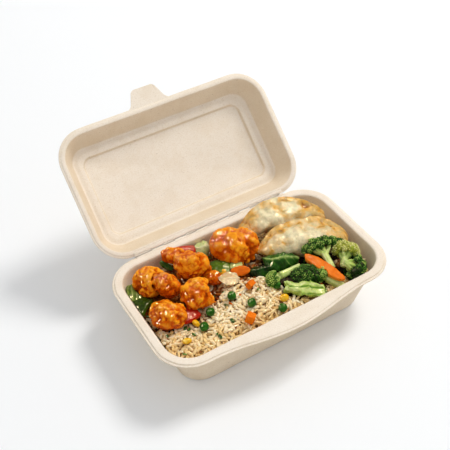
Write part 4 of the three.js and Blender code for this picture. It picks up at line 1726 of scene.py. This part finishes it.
        # By the chicken the core is painted dark, as sauce and as painted shade.
        tone = np.where((near < 5) | self.crowded(points), dark, plain)
        tone = np.append(np.where(green, shaded, tone), np.full(len(border) + 1, 0.5))
        return Form(np.vstack([points, skirt, [[0, 0, self.core_floor]]]),
                    [quads.reshape(-1, 4), wall, floor], {"tone": tone})

    def grain(self) -> Form:
        """Builds one grain: a slim, slightly bent spindle of unit size.

        Returns:
            The form.
        """
        rings, around = self.grain_grid
        t = np.linspace(-0.5, 0.5, rings)
        radius = np.sqrt(np.maximum(0.0, 1 - (np.abs(t) * 2) ** 4.4)) * 0.5
        radius[[0, -1]] = 0.24
        angle = np.linspace(0, 2 * math.pi, around, endpoint=False)
        return loft(np.stack([
            np.broadcast_to(t[:, None], self.grain_grid),
            radius[:, None] * np.cos(angle),
            radius[:, None] * np.sin(angle) * 0.85 + 0.35 * (t[:, None] ** 2),
        ], -1))

    def _darts(self, rng: Rng, spacing: float) -> Array:
        """Scatters places on the heap's plan, none closer than a spacing.

        Args:
            rng: source of the scatter.
            spacing: least distance between two places.

        Returns:
            Their x and y.
        """
        taken: dict[tuple[int, int], Array] = {}
        low = np.array([self.x[0], self.y[0]])
        size = np.array([self.x[-1], self.y[-1]]) - low
        for spot in rng.uniform(0, 1, (int(6 * size.prod() / spacing**2), 2)) * size:
            i, j = (spot / spacing).astype(int)
            near = (taken.get((i + a, j + b)) for a in (-1, 0, 1) for b in (-1, 0, 1))
            if all(n is None or np.hypot(*(n - spot)) >= spacing for n in near):
                taken[i, j] = spot
        return np.array(list(taken.values())) + low

    def spots(self, rng: Rng) -> tuple[Array, Array]:
        """Finds where grains lie.

        Args:
            rng: source of the scatter.

        Returns:
            Their middles and the slopes of the heap there.
        """
        parts = []
        for depth, spacing in self.layers:
            flat = self._darts(rng, spacing)
            z = self.read(self.top, *flat.T) - depth + rng.normal(0, 0.3, len(flat))
            parts.append(np.column_stack([flat, z]))
        places = np.concatenate(parts)
        x, y = places[:, 0], places[:, 1]
        slope = np.column_stack([
            self.read(self.top, x + 2, y) - self.read(self.top, x - 2, y),
            self.read(self.top, x, y + 2) - self.read(self.top, x, y - 2)]) / 4
        keep = self.read(self.room, x, y) > self.headroom
        keep &= self.tray.outside_by(places) < -self.wall_gap
        places, slope = places[keep], np.clip(slope[keep], -0.7, 0.7)
        # Grains are left out over the vegetables, so that the core's painted shade shows there.
        hidden = (places[:, 0] > self.veg_from) & (places[:, 1] > self.veg_front[1])
        hidden &= self.distances(self.greens, places) < self.veg_reach[1]
        hidden |= self.distances(self.food, places) < 0.25
        return places[~hidden], slope[~hidden]

    @staticmethod
    def _lying(rng: Rng, slope: Array) -> Array:
        """Turns grains so that they lie along the heap, a few of them raised.

        Args:
            rng: source of their directions.
            slope: slopes of the heap under the grains.

        Returns:
            A 3 x 3 matrix for each; its first column runs along the grain.
        """
        count = len(slope)
        heading = rng.uniform(0, 2 * math.pi, count)
        lift = rng.normal(0, 0.13, count) + (rng.random(count) < 0.12) * rng.normal(0, 0.5, count)
        roll = rng.uniform(0, 2 * math.pi, count)
        lead = np.column_stack([np.cos(heading), np.sin(heading), np.zeros(count)])
        lead[:, 2] = np.sum(lead[:, :2] * slope, axis=1) + lift
        lead = unit(lead)
        side = unit(np.cross([0.0, 0.0, 1.0], lead))
        up = np.cross(lead, side)
        second = side * np.cos(roll)[:, None] + up * np.sin(roll)[:, None]
        return np.stack([lead, second, np.cross(lead, second)], -1)

    def _sizes(self, rng: Rng, count: int) -> Array:
        """Draws the sizes of grains, some of them broken.

        Args:
            rng: source of the sizes.
            count: how many.

        Returns:
            Length and two thicknesses of each.
        """
        long = self.length * np.clip(rng.normal(1, 0.14, count), 0.55, 1.25)
        long = np.where(rng.random(count) < 0.12, long * 0.55, long)
        wide = self.width * rng.uniform(0.85, 1.12, count)
        return np.column_stack([long, wide, wide])

    def _tones(self, rng: Rng, places: Array) -> Array:
        """Draws the tones of grains: painted shade when deep and in front, and darker beside the
        chicken.

        Args:
            rng: source of the tones.
            places: their middles.

        Returns:
            One tone for each, from 0 to 1.
        """
        count = len(places)
        patch = Noise(self.seed + 1).smooth(places, 24.0, 2)
        # Painted shadow of the front wall: grains darken towards the front.
        front = ramp(-places[:, 1], 30, 58) * 0.26
        # Painted shade: deeper grains are darker.
        depth = self.read(self.top, places[:, 0], places[:, 1]) - places[:, 2]
        tone = 0.84 - 0.11 * depth + rng.normal(0, 0.12, count) + 0.15 * patch - front
        tone -= (rng.random(count) < 0.1) * 0.4
        tone -= 0.3 * ramp(4.0 - self.distances(self.chicken, places), 0, 3.5)
        return np.clip(tone, 0, 1)

    def build(self) -> None:
        """Places the core and the grains."""
        self.survey()
        place(self.core(), "rice_core", BED_AND_SHADE, ("rice",))
        rng = np.random.default_rng(self.seed)
        places, slope = self.spots(rng)
        turns = self._lying(rng, slope)
        scales = self._sizes(rng, len(places))
        tips = [places + turns[:, :, 0] * (scales[:, 0] / 2)[:, None] * s for s in (-1, 1)]
        over = np.max([self.tray.outside_by(t) + 0.9 for t in tips], axis=0)
        places[:, :2] -= unit(places[:, :2]) * np.clip(over, 0, 4)[:, None]
        tone = self._tones(rng, places)
        # Grains between and behind the food get the dark finish of sauce and painted shade.
        sauce_and_shade = self.sauced_and_shaded(places)
        dry = np.argsort(np.where(sauce_and_shade, 9.0, tone))[:np.count_nonzero(~sauce_and_shade)]
        parts = [("glazed", SAUCE_AND_SHADE_GRAIN, np.flatnonzero(sauce_and_shade))]
        parts += zip(("browned", "golden", "pale"), (GRAIN,) * 3, np.array_split(dry, 3))
        base = self.grain()
        for label, finish, rows in parts:
            grains = scattered(base, turns[rows], scales[rows], places[rows], tone[rows])
            place(grains, "rice_grains_" + label, finish)
        LOG.info("%d grains of rice", len(places))


@dataclass
class Sauce:
    """Glaze that has run off the chicken, as a thin film on the rice around it; between its pieces
    the film is painted shade as well.
    """

    heap: RiceHeap  # the surveyed heap of rice
    drops: int = 5200  # number of drops tried for
    # how far from the chicken they lie, and how far between its pieces
    reach: Pair = (1.2, 7.0)
    sunk: float = 0.4  # how far below the heap's outline they lie
    voxel: float = 0.75  # size of the film's faces
    seed: int = 61  # number that their places follow from

    def build(self) -> None:
        """Places the film."""
        rng = np.random.default_rng(self.seed)
        heap, noise = self.heap, Noise(self.seed)
        spots = heap.strewn(rng, self.drops, -self.sunk)
        near = heap.distances(heap.chicken, spots)
        # Between pieces of chicken the film is sauce and painted shade.
        between = heap.crowded(spots) & (near < self.reach[1]) & (rng.random(len(spots)) < 0.5)
        keep = ((near < self.reach[0]) | between) & (heap.tray.outside_by(spots) < -2.5)
        spots = spots[keep]
        wide = rng.uniform(1.2, 2.8, len(spots))
        scales = np.column_stack([wide, wide, rng.uniform(0.7, 1.0, len(spots))])
        still = np.repeat(np.eye(3)[None], len(spots), axis=0)
        film = scattered(ball(2), still, scales, spots, np.zeros(len(spots))).fused(self.voxel, 4)
        film = film.pushed(0.3 * noise.smooth(film.points, 5.0, 2))
        film = film.toned(0.4 + 0.5 * noise.smooth(film.points, 6.0, 2))
        place(film, "sauce_film", SAUCE)


@dataclass
class Scatter:
    """Small bits strewn over the rice, all of one kind."""

    name: str
    finish: Finish
    slot: str  # the record's material slot
    count: int  # number of bits tried for
    size: Triple  # half sizes of a bit
    bow: float  # how far a bit bends up at its ends
    raised: float  # how far its middle lies above the heap's outline
    seed: int  # number that the places follow from
    headroom: float = 9.0  # least room above a bit

    def build(self, heap: RiceHeap) -> None:
        """Places the bits.

        Args:
            heap: the surveyed heap of rice.
        """
        rng = np.random.default_rng(self.seed)
        noise = Noise(self.seed)
        reach = max(self.size)
        blank = ball(2 if reach < 2 else 3)
        spots = heap.strewn(rng, self.count, self.raised)
        keep = heap.tray.outside_by(spots) < -reach - 1
        keep &= heap.read(heap.room, spots[:, 0], spots[:, 1]) > self.headroom
        keep &= heap.distances(heap.food, spots) > reach + 0.6
        bits = []
        for k, spot in enumerate(spots[keep]):
            rough = 1 + 0.35 * noise.smooth(blank.points + k * 7.0, 0.9, 2)[:, None]
            shape = blank.points * rough * self.size * rng.uniform(0.7, 1.2)
            shape[:, 2] += self.bow * (blank.points[:, 0] ** 2) * rng.uniform(-0.3, 1.0)
            turn = turned((rng.normal(0, 14), rng.normal(0, 14), rng.uniform(0, 360)))
            tone = 0.45 + 0.3 * noise.smooth(shape, 2.0, 2) + rng.normal(0, 0.12)
            bits.append(Form(shape, blank.faces).toned(tone).moved(turn, spot))
        place(Form.joined(bits), self.name, self.finish)


# ---- camera and daylight


@dataclass
class Studio:
    """Pale floor, soft light and the camera: places in metres, power in watts.

    The sky lights evenly from all round, and the sparks only make highlights.
    """

    floor_half: float = 3.0
    floor_heights: Pair = (-20.0, -0.05)
    floor_colour: str = "f7f9fb"
    sky: float = 0.66
    mirrored: float = 0.1
    key_power: float = 62.0
    key_size: float = 1.0
    key_place: Triple = (2.1, 0.3, 2.8)
    key_colour: Triple = (1.0, 0.975, 0.94)
    spark_power: float = 300.0
    spark_size: float = 0.7
    spark_colour: Triple = (1.0, 0.8, 0.5)
    spark_places: tuple[Triple, ...] = ((1.2, 0.6, 3.0), (-1.7, 1.2, 1.9))
    lens: float = 64.8
    camera_place: Triple = (-0.29165, -0.43933, 0.6238)
    azimuth: float = -30.97
    elevation: float = 44.09
    roll: float = -1.0

    def floor(self) -> None:
        """Lays the floor, a wide plate just below the box's feet."""
        half = self.floor_half / MM
        ring = np.array([(-half, -half), (half, -half), (half, half), (-half, half)])
        plate = loft(np.array([np.column_stack([ring, np.full(4, z)])
                               for z in self.floor_heights]))
        made = plate.to_object("floor")
        made.data.polygons.foreach_set("use_smooth", np.zeros(len(made.data.polygons), bool))
        material = bpy.data.materials.new("pale_floor")
        material.use_nodes = True
        Nodes(material.node_tree).feed(material.node_tree.nodes["Principled BSDF"], {
            "Base Color": srgb(self.floor_colour), "Roughness": 0.8, "Specular IOR Level": 0.0})
        made.data.materials.append(material)
        made.visible_glossy = False

    def lights(self) -> None:
        """Sets the key light and the even light from all round."""
        world = bpy.data.worlds.new("soft_room")
        world.use_nodes = True
        nodes = Nodes(world.node_tree)
        glossy = nodes.add("LightPath").outputs["Is Glossy Ray"]
        strength = nodes.spread(glossy, 0.0, 1.0, self.sky, self.sky * self.mirrored)
        nodes.feed(world.node_tree.nodes["Background"], {
            "Strength": strength, "Color": (1.0, 1.0, 1.0, 1.0)})
        bpy.context.scene.world = world
        key = self._lamp("key", self.key_place, self.key_power, self.key_size, self.key_colour)
        key.visible_glossy = False
        for spot in self.spark_places:
            spark = self._lamp("spark", spot, self.spark_power, self.spark_size,
                               self.spark_colour)
            spark.visible_diffuse = False

    @staticmethod
    def _lamp(name: str, place_at: Triple, power: float, size: float,
              colour: Triple) -> bpy.types.Object:
        """A square lamp that faces the box.

        Args:
            name: its name.
            place_at: where it hangs.
            power: its power in watts.
            size: its side.
            colour: its colour.

        Returns:
            The lamp.
        """
        light = bpy.data.lights.new(name, "AREA")
        light.energy, light.size, light.color = power, size, colour
        lamp = bpy.data.objects.new(name, light)
        lamp.location = place_at
        lamp.rotation_euler = Vector(place_at).to_track_quat("Z", "Y").to_euler()
        bpy.context.scene.collection.objects.link(lamp)
        return lamp

    def camera(self) -> None:
        """Sets the camera."""
        a, e, r = (math.radians(d) for d in (self.azimuth, self.elevation, self.roll))
        back = Vector((math.sin(a) * math.cos(e), -math.cos(a) * math.cos(e), math.sin(e)))
        right = Vector((0, 0, 1)).cross(back).normalized()
        up = back.cross(right)
        level = right * math.cos(r) + up * math.sin(r)
        over = up * math.cos(r) - right * math.sin(r)
        lens = bpy.data.cameras.new("camera")
        lens.lens = self.lens
        seat = bpy.data.objects.new("camera", lens)
        seat.matrix_world = (Matrix.Translation(self.camera_place)
                             @ Matrix((level, over, back)).transposed().to_4x4())
        bpy.context.scene.collection.objects.link(seat)
        bpy.context.scene.camera = seat

    def build(self) -> None:
        """Sets up the studio."""
        self.floor()
        self.lights()
        self.camera()
        bpy.context.scene.view_settings.view_transform = "Standard"


# ---- the meal


def chickens() -> list[GlazedChicken]:
    """The pieces of chicken, from the largest."""
    return [
        GlazedChicken("chicken_1", 7, 9.5, 3.6, (-1.0, 0.1, 0.15), 0.2, 0.14, (
            (2.0, -17.0, -6.0, 4.0), (8.5, -15.5, -6.5, 4.5), (16.0, -12.0, -5.0, 5.0),
            (20.5, -7.5, -4.0, 4.5), (-5.0, -17.5, -7.0, 3.0))),
        GlazedChicken("chicken_2", 12, 9.0, 3.2, (1.0, -0.4, -0.1), 0.12, 0.12, (
            (13.0, -8.0, -3.0, 3.5), (9.0, -11.0, -7.0, 3.0))),
        GlazedChicken("chicken_3", 23, 9.5, 3.4, (0.3, 0.9, -0.2), 0.1, 0.05, (
            (12.0, 6.0, 0.0, 3.0), (-9.0, -8.0, -3.0, 3.0))),
        GlazedChicken("chicken_4", 31, 8.5, 3.0, (0.1, -0.6, -0.7), 0.1, 0.0),
        GlazedChicken("chicken_5", 44, 8.0, 3.2, (1.0, -0.2, -0.1), 0.12, -0.08),
        GlazedChicken("chicken_6", 58, 8.0, 3.4, (0.2, -0.6, -0.7), 0.1, 0.06),
        GlazedChicken("chicken_7", 63, 7.0, 2.6, (-1.0, 0.0, 0.0), 0.12, 0.02),
        GlazedChicken("chicken_8", 71, 6.0, 1.6, (0.6, -0.6, 0.4), 0.2, -0.22),
    ]


def dumplings() -> list[Dumpling]:
    """The two dumplings."""
    return [
        Dumpling("dumpling_1", 5, (24, 0, -20), (0.48, -2.85, -0.74), 94, 35, 27, 7, 8, 0.1,
                 9.0, 0.55),
        Dumpling("dumpling_2", 9, (37, -3, -16), (-1.6, -1.2, -1.9), 96, 27, 21, 5, 12, -0.06,
                 7.0, 1.0),
    ]


def florets() -> list[Floret]:
    """The broccoli florets."""
    return [
        Floret("broccoli_1", 101, (0, -12, 82), (0.3, 7.35, -0.36), (9.5, 20, 10), 26, 3.0,
               pale=0.06),
        Floret("broccoli_2", 102, (0, -8, 45), (-1.67, 1.89, -1.7), (9, 14, 11), 18, 3.0,
               FloretKind.YOUNG, 0.28),
        Floret("broccoli_3", 103, (0, 37, -36), (-0.13, -0.81, -0.83), (11, 14, 12), 14, 3.0),
        Floret("broccoli_4", 104, (0, -76, -121), (0.53, -3.7, -3.2), (9, 14, 10), 14, 3.0,
               pale=-0.12),
        Floret("broccoli_5", 105, (0, 5, 176), (-11.21, 1.37, 0.65), (8, 8, 8), 29, 3.2,
               pale=0.3),
        Floret("broccoli_6", 106, (0, -12, 117), (-3.14, 7.24, -0.4), (8, 8.5, 8), 24, 3.6,
               pale=0.35),
    ]


def cuts() -> list[Cut]:
    """The slices and cut pieces."""
    return [
        Cut("carrot_slice_1", 2, CARROT, "carrot", (2, 11, -67), 0.5, 3, (0.15, 5.0),
            tones=(0.4, 0.75, 0.0)),
        Cut("carrot_slice_2", 3, CARROT, "carrot", (30, 0, -25), 0.5, 3, (0.15, 5.0),
            tones=(0.25, 0.6, 0.0)),
        Cut("broccoli_stem", 4, STEM, "broccoli_stem", (10, 3, -38), 0.5, 5, (0.9, 6.0),
            (-1.1, 8.0), 0.3, (0.72, 0.5, -0.8), warp=2.3),
        Cut("green_bean", 7, LEAF, "leaf_green", (0, 20, -48), 0.4, 5, (0.15, 4.0),
            tones=(0.4, 0.4, 0.0)),
        Cut("red_pepper_1", 8, RED, "red_pepper", (15, 0, -24), tones=(0.5, 0.75, 0.0)),
        Cut("red_pepper_2", 9, RED, "red_pepper", (5, 8, 10), tones=(0.42, 0.7, 0.0)),
        Cut("green_pepper_1", 10, GREEN, "green_pepper", (5, 0, -35)),
        Cut("green_pepper_2", 11, GREEN, "green_pepper", (-10, 0, 65), ribs=(0.4, 4.0),
            tones=(0.6, 0.8, 0.3)),
        Cut("green_pepper_3", 12, GREEN, "green_pepper", (-10, 0, 35), tones=(0.08, 0.3, 0.0)),
        Cut("pale_pepper", 13, PALE, "pale_vegetable", (0, 0, -28), 0.4,
            tones=(0.3, 0.6, 0.0)),
        Cut("scallion", 15, LEAF, "leaf_green", (0, 30, -60), 0.4, 4, (0.2, 3.0), (0.2, 1.5),
            tones=(0.4, 0.6, 0.1)),
        Cut("carrot_dice_1", 17, CARROT, "carrot", (18, 24, 20), 0.4, 8, (0.5, 3.5),
            tones=(0.38, 0.45, 0.0), swell=-0.9, warp=0.8),
        Cut("carrot_dice_2", 18, CARROT, "carrot", (18, 24, 50), 0.4, 5, (0.3, 3.5),
            tones=(0.45, 0.5, 0.0), swell=0.4),
    ]


def leaves() -> list[Leaf]:
    """The limp leaves."""
    return [
        Leaf("leaf_1", 5, LEAF, "leaf_green", (15, 0, -33), 1.5, 3.2, 6.0, 0.3, 0.55),
        Leaf("leaf_2", 6, LEAF, "leaf_green", (10, 0, -25), 1.3, 2.2, 2.8, 0.05, 0.14),
        Leaf("egg_slice", 16, ONION, "egg", (0, 6, -30), 0.2, 1.3, 90.0, 0.4, 0.05, 0.93),
        Leaf("cabbage", 14, PALE, "pale_vegetable", (10, 0, -30), 1.2, 2.2, 5.0, 0.5, 0.3),
    ]


def scatters() -> list[Scatter]:
    """What is strewn over the rice."""
    return [
        Scatter("herb_flakes", LEAF, "leaf_green", 70, (2.4, 1.3, 0.4), 0.6, 1.5, 81),
        Scatter("browned_crumbs", BROWNED, "fried_rice", 420, (1.1, 0.9, 0.7), 0.0, 0.6, 82),
        Scatter("onion_strips", ONION, "pale_vegetable", 60, (5.0, 1.8, 0.5), 1.5, 1.4, 83),
        Scatter("carrot_crumbs", CARROT, "carrot", 26, (1.7, 1.0, 0.7), 0.0, 0.8, 84),
    ]


def round_bits() -> list[RoundBit]:
    """The peas and the corn kernels, the first of which is raised."""
    peas = [RoundBit(f"pea_{k}", 200 + k, RoundKind.PEA) for k in range(1, 7)]
    return peas + [RoundBit(f"corn_{k}", 220 + k, RoundKind.CORN, raised)
                   for k, raised in enumerate((4.5, 0.0, 0.0, 0.0), 1)]


def main() -> None:
    """Builds the box, the meal and the studio."""
    logging.basicConfig(level=logging.INFO, format="%(message)s")
    tray = Tray()
    tray.build()
    Lid().build()
    HingeCrease().build()
    for part in (*chickens(), *dumplings(), *florets(), *cuts(), *leaves(), *round_bits()):
        part.build()
    heap = RiceHeap(tray)
    heap.build()
    Sauce(heap).build()
    for bits in scatters():
        bits.build(heap)
    Studio().build()


if __name__ == "__main__":
    main()
